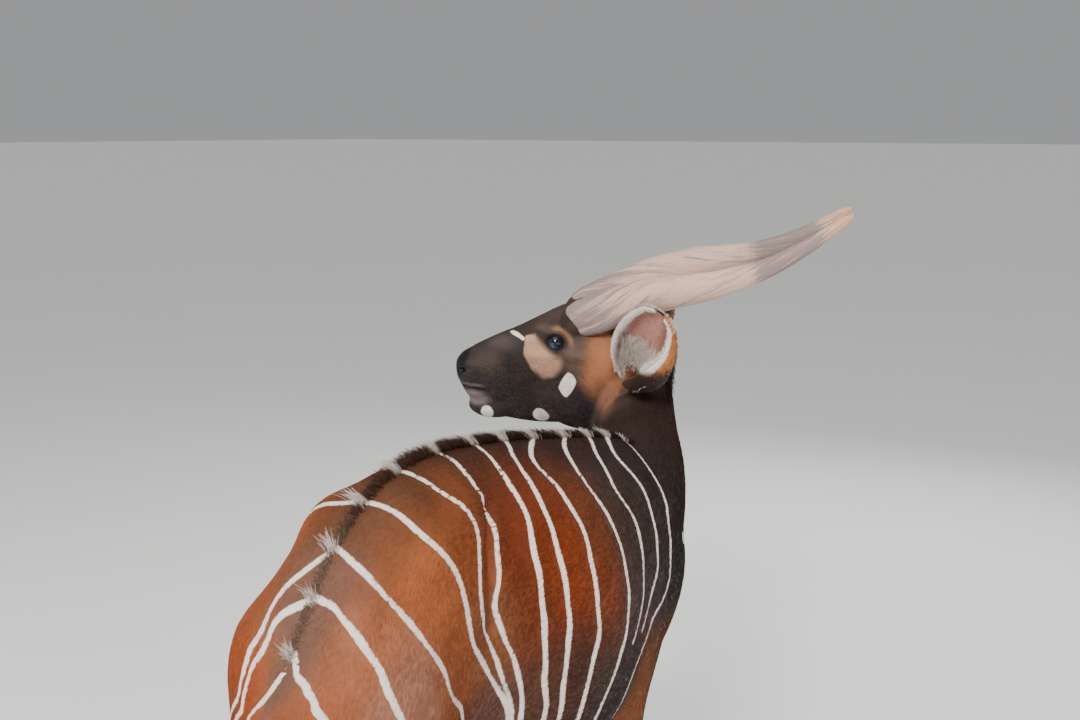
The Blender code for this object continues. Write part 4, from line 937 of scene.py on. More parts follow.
class Nodes:
    """Short calls that add nodes to one tree and join them; bsdf is its Principled shader, if any."""

    def __init__(self, tree, bsdf=None):
        self.tree = tree
        self.bsdf = bsdf

    def put(self, value, place):
        """Links a socket into a place, or sets the place's own value."""
        if hasattr(value, "is_output"):
            self.tree.links.new(value, place)
        else:
            place.default_value = value

    def add(self, kind, inputs=(), **settings):
        node = self.tree.nodes.new(kind)
        for key, value in settings.items():
            setattr(node, key, value)
        for key, value in dict(inputs).items():
            self.put(value, node.inputs[key])
        return node

    def into(self, name, value):
        self.put(value, self.bsdf.inputs[name])

    def math(self, operation, a, b=0.0, clamp=False):
        return self.add("ShaderNodeMath", {0: a, 1: b}, operation=operation, use_clamp=clamp).outputs[0]

    def plus(self, a, b, clamp=False):
        return self.math("ADD", a, b, clamp)

    def times(self, a, b):
        return self.math("MULTIPLY", a, b)

    def minus(self, a, b):
        return self.math("SUBTRACT", a, b)

    def rest(self, a):
        return self.minus(1.0, a)

    def mix(self, share, a, b):
        return self.add("ShaderNodeMix", {0: share, 6: a, 7: b}, data_type="RGBA").outputs[2]

    def scaled(self, colour, scale):
        return self.add("ShaderNodeVectorMath", {0: colour, "Scale": scale}, operation="SCALE").outputs[0]

    def spot(self):
        return self.add("ShaderNodeTexCoord").outputs["Object"]

    def drawn(self, vector, scale):
        return self.add("ShaderNodeMapping", {"Vector": vector, "Scale": scale}).outputs[0]

    def noise(self, vector, scale, detail=3.0, rough=0.55):
        inputs = {"Vector": vector, "Scale": scale, "Detail": detail, "Roughness": rough}
        return self.add("ShaderNodeTexNoise", inputs).outputs["Fac"]

    def cells(self, vector, scale):
        return self.add("ShaderNodeTexVoronoi", {"Vector": vector, "Scale": scale}).outputs["Distance"]

    def ramp(self, value, low, high):
        inputs = {"Value": value, "From Min": low, "From Max": high}
        return self.add("ShaderNodeMapRange", inputs, interpolation_type="SMOOTHSTEP").outputs["Result"]

    def read(self, name, out="Fac"):
        return self.add("ShaderNodeAttribute", attribute_name=name).outputs[out]

    def bump(self, height, strength, distance):
        made = self.add("ShaderNodeBump", {"Height": height, "Strength": strength, "Distance": distance})
        self.into("Normal", made.outputs[0])

    def give(self, **values):
        """Links values into the output of a group."""
        self.add("NodeGroupOutput", values)


def markings_group():
    """The coat's colour: tone, with white where the distance beyond a stripe's ragged edge is below 0."""
    group, n, given = new_group("CoatMarkings", (("Tone", "Color"), ("Distance", "Float"), ("White", "Color"),
                                                 ("Lie", "Vector"), ("Edge", "Float", 0.0016)),
                                (("Color", "Color"), ("Mask", "Float")))
    ragged = n.noise(given["Lie"], 1.0, 2.0)
    spot = n.spot()
    fine = n.noise(spot, 420.0, 2.0)
    wide = n.noise(spot, 22.0, 3.0)
    shift = n.times(n.minus(n.plus(ragged, fine), 1.0), given["Edge"])
    mask = n.ramp(n.plus(given["Distance"], shift), 0.0012, -0.0012)
    shade = n.plus(n.times(ragged, 0.3), n.plus(n.times(wide, 0.3), 0.7))
    white = n.scaled(given["White"], n.plus(n.times(ragged, 0.35), 0.8))
    n.give(Color=n.mix(mask, n.scaled(given["Tone"], shade), white), Mask=mask)
    return group


def streaks_group():
    """Height of short flat hair: noise drawn out along the lie, coarse and fine, in one value."""
    group, n, given = new_group("HairStreaks", (("Lie", "Vector"), ("Depth", "Float", 1.0)),
                                (("Height", "Float"),))
    coarse = n.noise(given["Lie"], 0.8, 3.0)
    fine = n.noise(given["Lie"], 2.6, 2.0)
    n.give(Height=n.times(n.plus(coarse, fine), given["Depth"]))
    return group


GROUPS = {}


def shader(name, rough=0.5, specular=0.5):
    """A new material and its nodes, with the constants of its Principled shader."""
    made = bpy.data.materials.new(name)
    made.use_nodes = True
    n = Nodes(made.node_tree, made.node_tree.nodes["Principled BSDF"])
    n.into("Roughness", rough)
    n.into("Specular IOR Level", specular)
    return made, n


def group_node(n, name, maker, inputs):
    """A node group, made when it is first wanted, placed in a material."""
    if name not in GROUPS:
        GROUPS[name] = maker()
    return n.add("ShaderNodeGroup", inputs, node_tree=GROUPS[name]).outputs


def coat_material(sizes, name, rough, bump):
    """Short hair: markings from the attributes, streaks along the lie as bump and shade."""
    made, n = shader(name, rough, 0.22)
    lie = n.read("lie", "Vector")
    marks = group_node(n, "CoatMarkings", markings_group, {
        "Tone": n.read("tone", "Color"), "Distance": n.read("white"), "White": (*sizes.white, 1), "Lie": lie})
    n.into("Base Color", marks["Color"])
    height = group_node(n, "HairStreaks", streaks_group, {"Lie": lie, "Depth": 1.0})["Height"]
    bare = n.read("bare")
    grained = n.times(n.cells(n.spot(), 420.0), 0.8)
    height = n.add("ShaderNodeMix", {0: bare, 2: height, 3: grained}, data_type="FLOAT").outputs[0]
    n.bump(height, bump, 0.0012)
    n.into("Roughness", n.minus(rough, n.times(bare, 0.06)))
    return made


def finish(obj, material, slot, *nodes):
    """Gives the piece its material, moves its mesh into the frame, hangs it under the root and hides the
    frame's parts that it replaces.
    """
    obj.data.materials.append(material)
    obj.data.transform(Matrix.Translation(Vector(MOVE)))
    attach(obj, "root")
    if nodes:
        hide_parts(*nodes)
    print(f"{obj.name}: {len(obj.data.loops) - 2 * len(obj.data.polygons)} triangles")



# Hair

def dress(mesh, faces, tones, whites, layout, patch, rng):
    """Colour, white distance, a place among the streaks and a patch of the flat layout for every tuft."""
    count, each = len(layout), len(patch)
    set_values(mesh, "tone", "FLOAT_COLOR", np.repeat(tones, each, 0))
    set_values(mesh, "white", "FLOAT", whites)
    set_values(mesh, "bare", "FLOAT", np.zeros(count * each))
    streak = np.stack([rng.uniform(0, 900, count), rng.uniform(0, 900, count), np.zeros(count)], 1)
    set_values(mesh, "lie", "FLOAT_VECTOR", np.repeat(streak, each, 0))
    places = (layout[:, None, :] + patch).reshape(-1, 2)
    order = np.concatenate([f.ravel() for f in faces])
    mesh.uv_layers.new(name="OFBake").data.foreach_set("uv", places[order].astype(np.float32).ravel())


def short_tufts(name, roots, normals, ways, lengths, widths, lifts, tone, white, far_white, rng):
    """Flat slender four-sided tufts, each a wedge from a base of two corners and a ridge to its tip.

    Corners: root -+ side w/2, root + way l/5 + normal 0.4 w, root + way l + normal l lift.
    """
    count = len(roots)
    side = np.cross(normals, ways)
    ways = unit(ways + side * rng.normal(0, 0.12, (count, 1)))
    side = np.cross(normals, ways)
    half = widths[:, None] / 2
    base = roots - normals * 0.0006
    tip = roots + ways * lengths[:, None] + normals * (lengths * lifts)[:, None]
    ridge = roots + ways * lengths[:, None] * 0.2 + normals * (half * 0.8 + 0.0004)
    verts = np.stack([base - side * half, base + side * half, ridge, tip], 1).reshape(-1, 3)
    start = (np.arange(count) * 4)[:, None, None]
    faces = [(start + np.array([[0, 2, 1], [0, 1, 3], [0, 3, 2], [1, 2, 3]])).reshape(-1, 3)]
    made = put_mesh(name, verts, faces)
    vary = (1 + rng.normal(0, 0.07, (count, 1))).clip(0.7, 1.4)
    whites = np.stack([white, white, 0.8 * white + 0.2 * far_white, far_white], 1).ravel()
    patch = np.array([[-.0015, 0], [.0015, 0], [0, .001], [0, .003]])
    dress(made.data, faces, tone * vary, whites, unwrapped(roots), patch, rng)
    shade = np.stack([normals - side * 0.4, normals + side * 0.4, normals, normals + ways * 0.15], 1)
    made.data.normals_split_custom_set_from_vertices([tuple(v) for v in unit(shade.reshape(-1, 3))])
    return made


def long_locks(name, roots, starts, ends, lengths, widths, tones, rng, whites=FAR_FROM_WHITE, levels=4,
               layout=None):
    """Slender bent locks: root + l (t start + t^2/2 (end - start)), three-sided, w (1 - 0.75 t^2) wide.

    The rings stand at t = 0 to 0.85, and a single point closes the tip.
    """
    count = len(roots)
    t = np.linspace(0, 0.85, levels)
    starts, ends = unit(starts), unit(ends)
    path = (roots[:, None, :] + lengths[:, None, None] * (
        t[None, :, None] * starts[:, None, :] + (t ** 2 / 2)[None, :, None] * (ends - starts)[:, None, :]))
    tip = roots + lengths[:, None] * (starts + 0.5 * (ends - starts))
    ways = unit(starts[:, None, :] + t[None, :, None] * (ends - starts)[:, None, :])
    turn = rng.uniform(0, 2 * np.pi, count)
    seed = np.stack([np.cos(turn), np.sin(turn), np.zeros(count) + 0.13], 1)[:, None, :]
    side = unit(np.cross(ways, seed))
    over = np.cross(side, ways)
    width = np.broadcast_to(widths, count)[:, None] * (1 - 0.75 * t[None, :] ** 2) / 2
    corners = []
    for angle, reach in ((90, LOCK_FLATNESS), (210, 1.0), (330, 1.0)):
        c, s = math.cos(math.radians(angle)) * reach, math.sin(math.radians(angle)) * LOCK_FLATNESS
        corners.append(path + side * (width * c)[..., None] + over * (width * s)[..., None])
    each = levels * 3 + 1
    verts = np.concatenate([np.stack(corners, 2).reshape(count, -1, 3), tip[:, None, :]], 1).reshape(-1, 3)
    top = (levels - 1) * 3
    quads = cells(levels - 1, levels, 3)
    tris = np.array([*([top + j, top + (j + 1) % 3, each - 1] for j in range(3)), [0, 2, 1]])
    start = (np.arange(count) * each)[:, None, None]
    faces = [(start + quads).reshape(-1, 4), (start + tris).reshape(-1, 3)]
    if outward(verts[:each], [quads, tris])[0][0, 0] != quads[0, 0]:
        faces = [group[:, ::-1] for group in faces]
    made = put_mesh(name, verts, faces)
    patch = np.stack([np.tile([0.0, -.0015, .0015], levels), np.repeat(np.linspace(0, .0025, levels), 3)], 1)
    whites = np.repeat(np.broadcast_to(whites, count), each)
    layout = unwrapped(roots) if layout is None else layout
    patch = np.concatenate([patch, [[0, .003]]])
    dress(made.data, faces, np.broadcast_to(tones, (count, 3)), whites, layout, patch, rng)
    finish(made, bpy.data.materials["crest_hair"], "coat")


SKIN = {}
BODY_NODES = ("torso", "neck", "head", "tail", *(
    f"leg_{place}_{side}_{level}" for place in ("front", "hind") for side in ("left", "right")
    for level in ("upper", "lower")))


class BONGO_OT_skin(bpy.types.Operator):
    """One closed skin over trunk, neck, head, legs and tail, with folds, lids' beds, nostrils and mouth"""

    bl_idname = "bongo.skin"
    bl_label = "Skin"

    def execute(self, context):
        sizes = context.scene.bongo_sizes
        made = self.fused(context, sizes.skin_cell)
        mesh = made.data
        size = len(mesh.vertices)
        points = stretched(read_rows(mesh.vertices, "co", 3).astype(float), back=True)
        edges = read_rows(mesh.edges, "vertices", 2, np.int32)
        head = on_head(points)
        body = smooth(points[:, 2], 0.58, 0.73) * (1 - head)
        for share, rounds in ((np.ones(size), 4), (body, 22), (head, 4)):
            points = relaxed(points, edges, 0.5 * share, rounds)
        mesh.vertices.foreach_set("co", points.astype(np.float32).ravel())
        mesh.update()
        points = self.shaped(points, vertex_normals(mesh), sizes)
        points = relaxed(points, edges, 0.18 * np.ones(size), 2)
        mesh.vertices.foreach_set("co", points.astype(np.float32).ravel())
        mesh.polygons.foreach_set("use_smooth", np.ones(len(mesh.polygons), bool))
        mesh.update()
        normals = vertex_normals(mesh)
        tone, white, bare = marked(points, normals)
        set_values(mesh, "tone", "FLOAT_COLOR", tone)
        # The cells are wider than a stripe, so the marks are spread a little to keep the stripes whole
        set_values(mesh, "white", "FLOAT", white - 0.0016 * (1 - on_head(points)))
        set_values(mesh, "bare", "FLOAT", bare)
        set_values(mesh, "lie", "FLOAT_VECTOR", self.drawn_out(points))
        mesh.calc_loop_triangles()
        triangles = read_rows(mesh.loop_triangles, "vertices", 3, np.int32)
        tree = BVHTree.FromPolygons([tuple(p) for p in points], triangles.tolist())
        SKIN.update(points=points, normals=normals, triangles=triangles, tree=tree)
        mesh.materials.clear()
        finish(made, coat_material(sizes, "skin_hair", 0.55, 0.5), "coat", *BODY_NODES)
        return {"FINISHED"}

    def fused(self, context, cell):
        """The shapes of trunk, neck, head, tail, legs and muscles fused by a remesh, in stretched space."""
        parts = [trunk_shape(), neck_shape(), head_shape(), tail_shape()]
        parts += [leg_shape(*leg) for leg in LEGS.values()]
        parts += [ball(*mass) for mass in BODY_MASSES]
        for mass in HEAD_MASSES:
            for side in (1, -1):
                verts, faces = ball(*mass)
                verts = from_head(verts, side)
                parts.append((verts, outward(verts, faces)))
        for leg in LEGS.values():
            if leg[0] is HINDLEG:
                hock = leg_line(*leg, [HOCK_HEIGHT])[0][0] - np.array([*leg[1], 0]) * 0.044
                parts.append(ball(hock, (0.021, 0.024, 0.048)))
        verts, faces = joined(parts)
        made = put_mesh("skin", stretched(verts), faces)
        modifier = made.modifiers.new("Remesh", "REMESH")
        modifier.mode = "VOXEL"
        modifier.voxel_size = cell
        mesh = bpy.data.meshes.new_from_object(made.evaluated_get(context.evaluated_depsgraph_get()))
        made.modifiers.clear()
        rough = made.data
        made.data = mesh
        bpy.data.meshes.remove(rough)
        return made

    def drawn_out(self, points):
        """Coordinates for streaks: 700 a metre across the lie and 60 along it, from the flat layout."""
        q = to_head(points)
        head = on_head(points)
        low = 1 - smooth(points[:, 2], 0.55, 0.7)
        around = np.arctan2(q[:, 1], q[:, 2] + 0.16) * 0.08
        across = blend(np.radians(trunk_place(points)[0]) * 0.26, around, head)
        across = blend(across, points[:, 0] * 0.7 + points[:, 1] * 0.7, low)
        along = blend(blend(points[:, 1], q[:, 0], head), points[:, 2], low)
        return np.stack([across * 700, along * 60, np.zeros(len(points))], 1)

    def shaped(self, points, normals, sizes):
        """Folds and swellings: height * exp(-(d / width)^2) along the normal, less the coat's depth."""
        lift = np.zeros(len(points))
        head = on_head(points)
        q = to_half_head(points)
        for centre, radii, height in HEAD_RELIEF:
            lift += height * np.exp(-np.sum(((q - centre) / radii) ** 2, 1)) * head
        far, place = line_distance(q, MOUTH)
        lift -= 0.004 * bell(far, 0.0032) * (1 - 0.4 * place) * head
        lift -= 0.0075 * bell(line_distance(q, THROAT_FOLD)[0], 0.01)
        for line, width, depth, _ in HEAD_CREASES:
            lift -= depth * bell(line_distance(q, line)[0], width) * head
        mirrored = points * [-1, 1, 1] + [-0.03, 0, 0]
        for line, width, height in BODY_LINES:
            for spots in (points, mirrored):
                lift += height * bell(line_distance(spots, line)[0], width)
        depth = blend(sizes.coat_depth, HEAD_COAT_DEPTH, head)
        return self.socketed(points + normals * (lift - depth)[:, None])

    def socketed(self, points):
        """Inside the opening of an eye the skin sinks behind the ball."""
        for side in (1, -1):
            q = to_head(points) * [1, side, 1]
            away = q - EYE_CENTRE
            out = away @ EYE_LOOKS
            flat = away - out[:, None] * EYE_LOOKS
            reach = np.sqrt((flat @ EYE_WIDE / 0.019) ** 2 + (flat @ EYE_TALL / 0.0165) ** 2)
            inside = (1 - smooth(reach, 0.8, 1.12)) * (out > -0.004)
            q = q + EYE_LOOKS * ((np.minimum(out, 0.004) - out) * inside)[:, None]
            near = (reach < 1.3) & (out > -0.004)
            points = np.where(near[:, None], from_head(q * [1, side, 1]), points)
        return points


class BONGO_OT_coat(bpy.types.Operator):
    """Short flat tufts over the whole skin, smallest on the face and feet"""

    bl_idname = "bongo.coat"
    bl_label = "Coat"

    def execute(self, context):
        sizes = context.scene.bongo_sizes
        rng = np.random.default_rng(7)
        roots, outs = self.spread(sizes.tufts, rng)
        tone, white, _ = marked(roots, outs)
        ways = lying(roots, outs)
        head = on_head(roots)
        neck = smooth(-roots[:, 1], 0.28, 0.4) * (1 - head) * smooth(roots[:, 2], 0.85, 1.0)
        q = to_head(roots)
        face = head * smooth(q[:, 0], 0.02, 0.12)
        length = sizes.hair_length * (1 - 0.4 * (1 - smooth(roots[:, 2], 0.45, 0.66))) * (1 + 0.25 * neck)
        length = blend(length, 0.0062 - 0.0022 * smooth(q[:, 0], 0.22, 0.36), face)
        length = length * rng.uniform(0.75, 1.2, len(roots)) * (1 - 0.42 * bell(white, 0.008))
        width = blend(0.0015, 0.0009, face) * rng.uniform(0.8, 1.25, len(roots))
        lift = (0.1 + 0.05 * neck) * rng.uniform(0.5, 1.4, len(roots))
        far_white = marked(roots + ways * (length * 0.8)[:, None], outs)[1]
        material = coat_material(sizes, "coat_hair", 0.55, 0.25)
        for number, start in enumerate(range(0, len(roots), TUFTS_PER_PIECE)):
            cut = slice(start, start + TUFTS_PER_PIECE)
            arrays = (roots, outs, ways, length, width, lift, tone, white, far_white)
            made = short_tufts(f"coat_{number + 1}", *[values[cut] for values in arrays], rng)
            finish(made, material, "coat")
        return {"FINISHED"}

    def spread(self, count, rng):
        """Roots over the skin's triangles, by area and by the closeness wanted there, and the ways out."""
        points, normals, tris = SKIN["points"], SKIN["normals"], SKIN["triangles"]
        a, b, c = points[tris[:, 0]], points[tris[:, 1]], points[tris[:, 2]]
        area = np.linalg.norm(np.cross(b - a, c - a), axis=1) / 2
        middle = (a + b + c) / 3
        head = on_head(middle)
        bare = head_marks(middle)[2]
        eye = np.linalg.norm(to_half_head(middle) - EYE_CENTRE - EYE_LOOKS * 0.016, axis=1)
        wanted = 1 + 1.9 * head + 0.9 * (1 - smooth(middle[:, 2], 0.45, 0.62))
        wanted = wanted * np.where(head > 0.5, (bare < 0.25) & (eye > 0.0245), 1.0)
        wanted = wanted * (middle[:, 2] > CORONET + 0.004)
        weight = area * wanted
        chosen = rng.choice(len(tris), count, p=weight / weight.sum())
        chosen = chosen[np.argsort(middle[chosen, 1] + 10 * (head[chosen] > 0.5), kind="stable")]
        u, v = rng.uniform(size=(2, count))
        flip = u + v > 1
        u, v = np.where(flip, 1 - u, u)[:, None], np.where(flip, 1 - v, v)[:, None]
        t = tris[chosen]
        places, outs = [grid[t[:, 0]] * (1 - u - v) + grid[t[:, 1]] * u + grid[t[:, 2]] * v
                        for grid in (points, normals)]
        return places, unit(outs)


class BONGO_OT_crest(bpy.types.Operator):
    """The upright crest along the back, white where a stripe meets it, and the dark mane of the neck"""

    bl_idname = "bongo.crest"
    bl_label = "Crest and mane"

    def execute(self, context):
        sizes = context.scene.bongo_sizes
        coat_material(sizes, "crest_hair", 0.6, 0.2)
        rng = np.random.default_rng(11)
        count = sizes.crest_hairs
        line = sections(BACK_LINE, 400)
        pick = rng.integers(0, 400, count)
        spread = rng.normal(0, 0.0058, count)
        roots = line[pick] + rng.normal(0, 0.003, (count, 3)) * [0, 1, 0]
        roots[:, 0] += spread
        roots, outs = on_skin(roots)
        y = roots[:, 1]
        lean = np.interp(y, (0.48, 0.58), (0.8, -0.15))[:, None]
        start = outs + np.array([0, 1.0, 0]) * lean + np.array([0, 0, 0.35]) + rng.normal(0, 0.15, (count, 3))
        start[:, 0] += spread * 9
        end = start * 0.6 + np.array([0, 1.0, 0.0]) * (lean + 0.45) + rng.normal(0, 0.2, (count, 3))
        white = np.full(count, FAR_FROM_WHITE)
        for reach, (right, _, _) in zip(CREST_REACHES, STRIPES):
            gap = np.abs(y - right[0] - 0.006) - reach * (1 + 0.25 * rng.normal(size=count))
            white = np.minimum(white, gap)
        white = np.where((y > 0.5) & (rng.uniform(size=count) < 0.4), FAR_FROM_WHITE, white)
        dark_long, white_long = [np.interp(y, *zip(*table)) for table in (DARK_CREST, WHITE_CREST)]
        pale = smooth(-white, -0.001, 0.005)
        length = sizes.crest_length * blend(dark_long, white_long, pale) * rng.uniform(0.6, 1.1, count)
        tones = np.array([.042, .021, .013]) * np.interp(y, (0.1, 0.5, 0.7), (1, 2.0, 3.0))[:, None]
        grey = smooth(y, 0.5, 0.6) * rng.uniform(0, 1, (count, 1))[:, 0]
        tones = over(tones, (.26, .19, .15), grey)
        tones = tones * rng.uniform(0.6, 1.5, (count, 1))
        long_locks("crest", roots - outs * 0.002, start, end, length, rng.uniform(0.0007, 0.0014, count),
                   tones, rng, white)
        self.mane(rng)
        self.forelock(rng)
        return {"FINISHED"}

    def forelock(self, rng):
        """Dark reddish hair lying back between the roots of the horns."""
        count = 1100
        x, y = rng.uniform(0.085, 0.185, count), rng.normal(0, 0.012, count).clip(-0.03, 0.03)
        roots, outs = on_skin(from_head(np.stack([x, y, np.full(count, 0.03)], 1)))
        back = np.stack([-np.ones(count), y * 8, np.zeros(count)], 1) @ HEAD_TURN.T
        start = outs * 0.8 + back + rng.normal(0, 0.14, (count, 3))
        end = outs * 0.1 + back + rng.normal(0, 0.16, (count, 3))
        tones = np.array([.045, .014, .01]) * rng.uniform(0.5, 1.6, (count, 1))
        long_locks("forelock", roots - outs * 0.002, start, end, rng.uniform(0.014, 0.03, count),
                   rng.uniform(0.0008, 0.0015, count), tones, rng)

    def mane(self, rng):
        """Dark hair down the nape and where the neck meets the withers."""
        count = 1500
        table, ups, side = neck_line(200)
        pick = rng.integers(30, 195, count)
        roots = table[pick, :3] + ups[pick] * (table[pick, 4:5] + 0.02)
        roots, outs = on_skin(roots + side[pick] * rng.normal(0, 0.013, (count, 1)))
        start = outs * 0.55 + np.array([-0.1, 0.25, -0.75]) + rng.normal(0, 0.12, (count, 3))
        end = start * 0.5 + np.array([-0.05, 0.2, -1.0]) + rng.normal(0, 0.12, (count, 3))
        length = 0.03 * rng.uniform(0.6, 1.2, count)
        tones = np.array([.022, .011, .008]) * rng.uniform(0.6, 1.9, (count, 1))
        width = rng.uniform(0.001, 0.002, count)
        long_locks("mane", roots - outs * 0.002, start, end, length, width, tones, rng)


def on_skin(points):
    """The nearest places on the skin, and the outward directions there."""
    hits = [SKIN["tree"].find_nearest(Vector(p)) for p in points]
    return np.array([hit[0] for hit in hits]), np.array([hit[1] for hit in hits])


class BONGO_OT_tail(bpy.types.Operator):
    """The dark tuft at the end of the tail, and longer hair down its sides"""

    bl_idname = "bongo.tail"
    bl_label = "Tail tuft"

    def execute(self, context):
        rng = np.random.default_rng(13)
        count = 2200
        place = 0.35 + 0.64 * rng.beta(2.6, 1.3, count)
        row = sections(TAIL, 300)[(place * 299).astype(int)]
        turn = rng.uniform(0, 2 * np.pi, count)
        out = np.stack([np.cos(turn), np.sin(turn), np.zeros(count)], 1)
        roots = row[:, :3] + out * row[:, 3:4] * 0.82
        start = out * 0.45 + np.array([0, 0, -1.0]) + rng.normal(0, 0.06, (count, 3))
        end = out * -0.1 + np.array([0, 0, -1.0]) + rng.normal(0, 0.1, (count, 3))
        length = np.interp(place, (0.35, 0.65, 0.85, 1.0), (0.03, 0.065, 0.125, 0.165))
        length = length * rng.uniform(0.7, 1.08, count)
        length = np.minimum(length, roots[:, 2] - 0.352)
        tones = over(np.array([.13, .048, .022]), (.014, .009, .008), smooth(place, 0.45, 0.75))
        tones = tones * rng.uniform(0.6, 1.7, (count, 1))
        long_locks("tail_tuft", roots, start, end, length, rng.uniform(0.0012, 0.0026, count), tones, rng)
        return {"FINISHED"}


class BONGO_OT_horns(bpy.types.Operator):
    """The pair of horns, one open turn of a spiral with a keel, ringed low down, pale with grey streaks"""

    bl_idname = "bongo.horns"
    bl_label = "Horns"

    def execute(self, context):
        material = self.material(context.scene.bongo_sizes)
        for name, side in SIDES:
            verts, faces, place, turn = self.shape(side)
            made = put_mesh("horn_" + name + "_sheath", verts, faces)
            set_values(made.data, "place", "FLOAT", place)
            set_values(made.data, "turn", "FLOAT", turn)
            wrap = np.stack([np.cos(turn) * 6, np.sin(turn) * 6, place * 9 + side], 1)
            set_values(made.data, "grain", "FLOAT_VECTOR", wrap)
            finish(made, material, "horn", "horn_" + name)
        return {"FINISHED"}

    def shape(self, side, count=220, around=72):
        """Point (t, a): centre(t) + depth cos a up + width sin a side, swollen at the keels.

        The keel adds 0.16 exp(-(a - keel)^2 / 0.42^2) of the radius, a second one 0.05 exp(-(...)^2 / 0.5^2).
        """
        table = sections(HORN, count)
        ahead = unit(np.gradient(table[:, :3], axis=0))
        ups = unit(np.cross(ahead, np.tile([0.0, 1.0, 0.0], (count, 1))))
        across = np.cross(ups, ahead)
        angle = circle(around)
        keel = np.radians(table[:, 5])[:, None]
        away = np.angle(np.exp(1j * (angle[None, :] - keel)))
        second = np.angle(np.exp(1j * (angle[None, :] - keel - np.radians(200))))
        swell = 0.95 + 0.16 * bell(away, 0.42)
        swell = swell + 0.05 * bell(second, 0.5)
        t = np.linspace(0, 1, count)[:, None]
        ripple = 0.01 * np.sin(t * 210 + 0.8 * np.sin(angle * 2)) * (1 - smooth(t, 0.05, 0.42))
        groove = 0.006 * np.sin(angle * 9 + t * 14) + 0.004 * np.sin(angle * 17 - t * 23 + 1.0)
        swell = swell + ripple + groove * (1 - smooth(t, 0.75, 0.95))
        grid = (table[:, None, :3] + (table[:, 3:4] * swell * np.cos(angle))[..., None] * ups[:, None, :]
                + (table[:, 4:5] * swell * np.sin(angle))[..., None] * across[:, None, :])
        place = np.concatenate([np.repeat(t[:, 0], around), [0.0, 1.0]])
        return *closed(grid, side), place, np.concatenate([away.ravel(), [0.0, 0.0]])

    def material(self, sizes):
        """Horn: pale, with grey streaks drawn out along it, a grey cracked stretch and warm tips."""
        made, n = shader("horn_sheath", 0.55, 0.2)
        place = n.read("place")
        grain = n.read("grain", "Vector")
        broad = n.noise(n.drawn(grain, (0.55, 0.55, 0.5)), 1.0, 4.0, 0.6)
        fine = n.noise(n.drawn(grain, (3.2, 3.2, 0.9)), 1.6, 5.0, 0.65)
        speck = n.noise(n.spot(), 260.0, 3.0)
        low = n.rest(n.ramp(place, 0.05, 0.34))
        crack = n.times(n.ramp(place, 0.6, 0.68), n.rest(n.ramp(place, 0.84, 0.92)))
        lean = n.plus(n.times(low, 0.13), n.times(crack, 0.16))
        streak = n.ramp(n.plus(n.plus(n.times(broad, 0.65), n.times(fine, 0.45)), lean), 0.56, 0.68)
        rosy = n.mix(n.ramp(broad, 0.35, 0.7), (*sizes.horn_pale, 1), (0.65, 0.455, 0.365, 1))
        tip = n.mix(n.ramp(place, 0.86, 0.95), rosy, (0.62, 0.36, 0.2, 1))
        grey = n.mix(n.times(streak, 0.8), tip, (*sizes.horn_grey, 1))
        line = n.times(n.ramp(fine, 0.63, 0.72), n.times(n.plus(low, crack, True), 0.6))
        lined = n.mix(line, grey, (0.055, 0.05, 0.05, 1))
        n.into("Base Color", n.mix(n.times(n.ramp(speck, 0.56, 0.68), 0.45), lined, (0.27, 0.16, 0.115, 1)))
        n.bump(n.plus(n.times(fine, 0.8), n.times(speck, 0.25)), 0.6, 0.0015)
        n.into("Roughness", n.plus(n.times(streak, 0.14), 0.48))
        return made


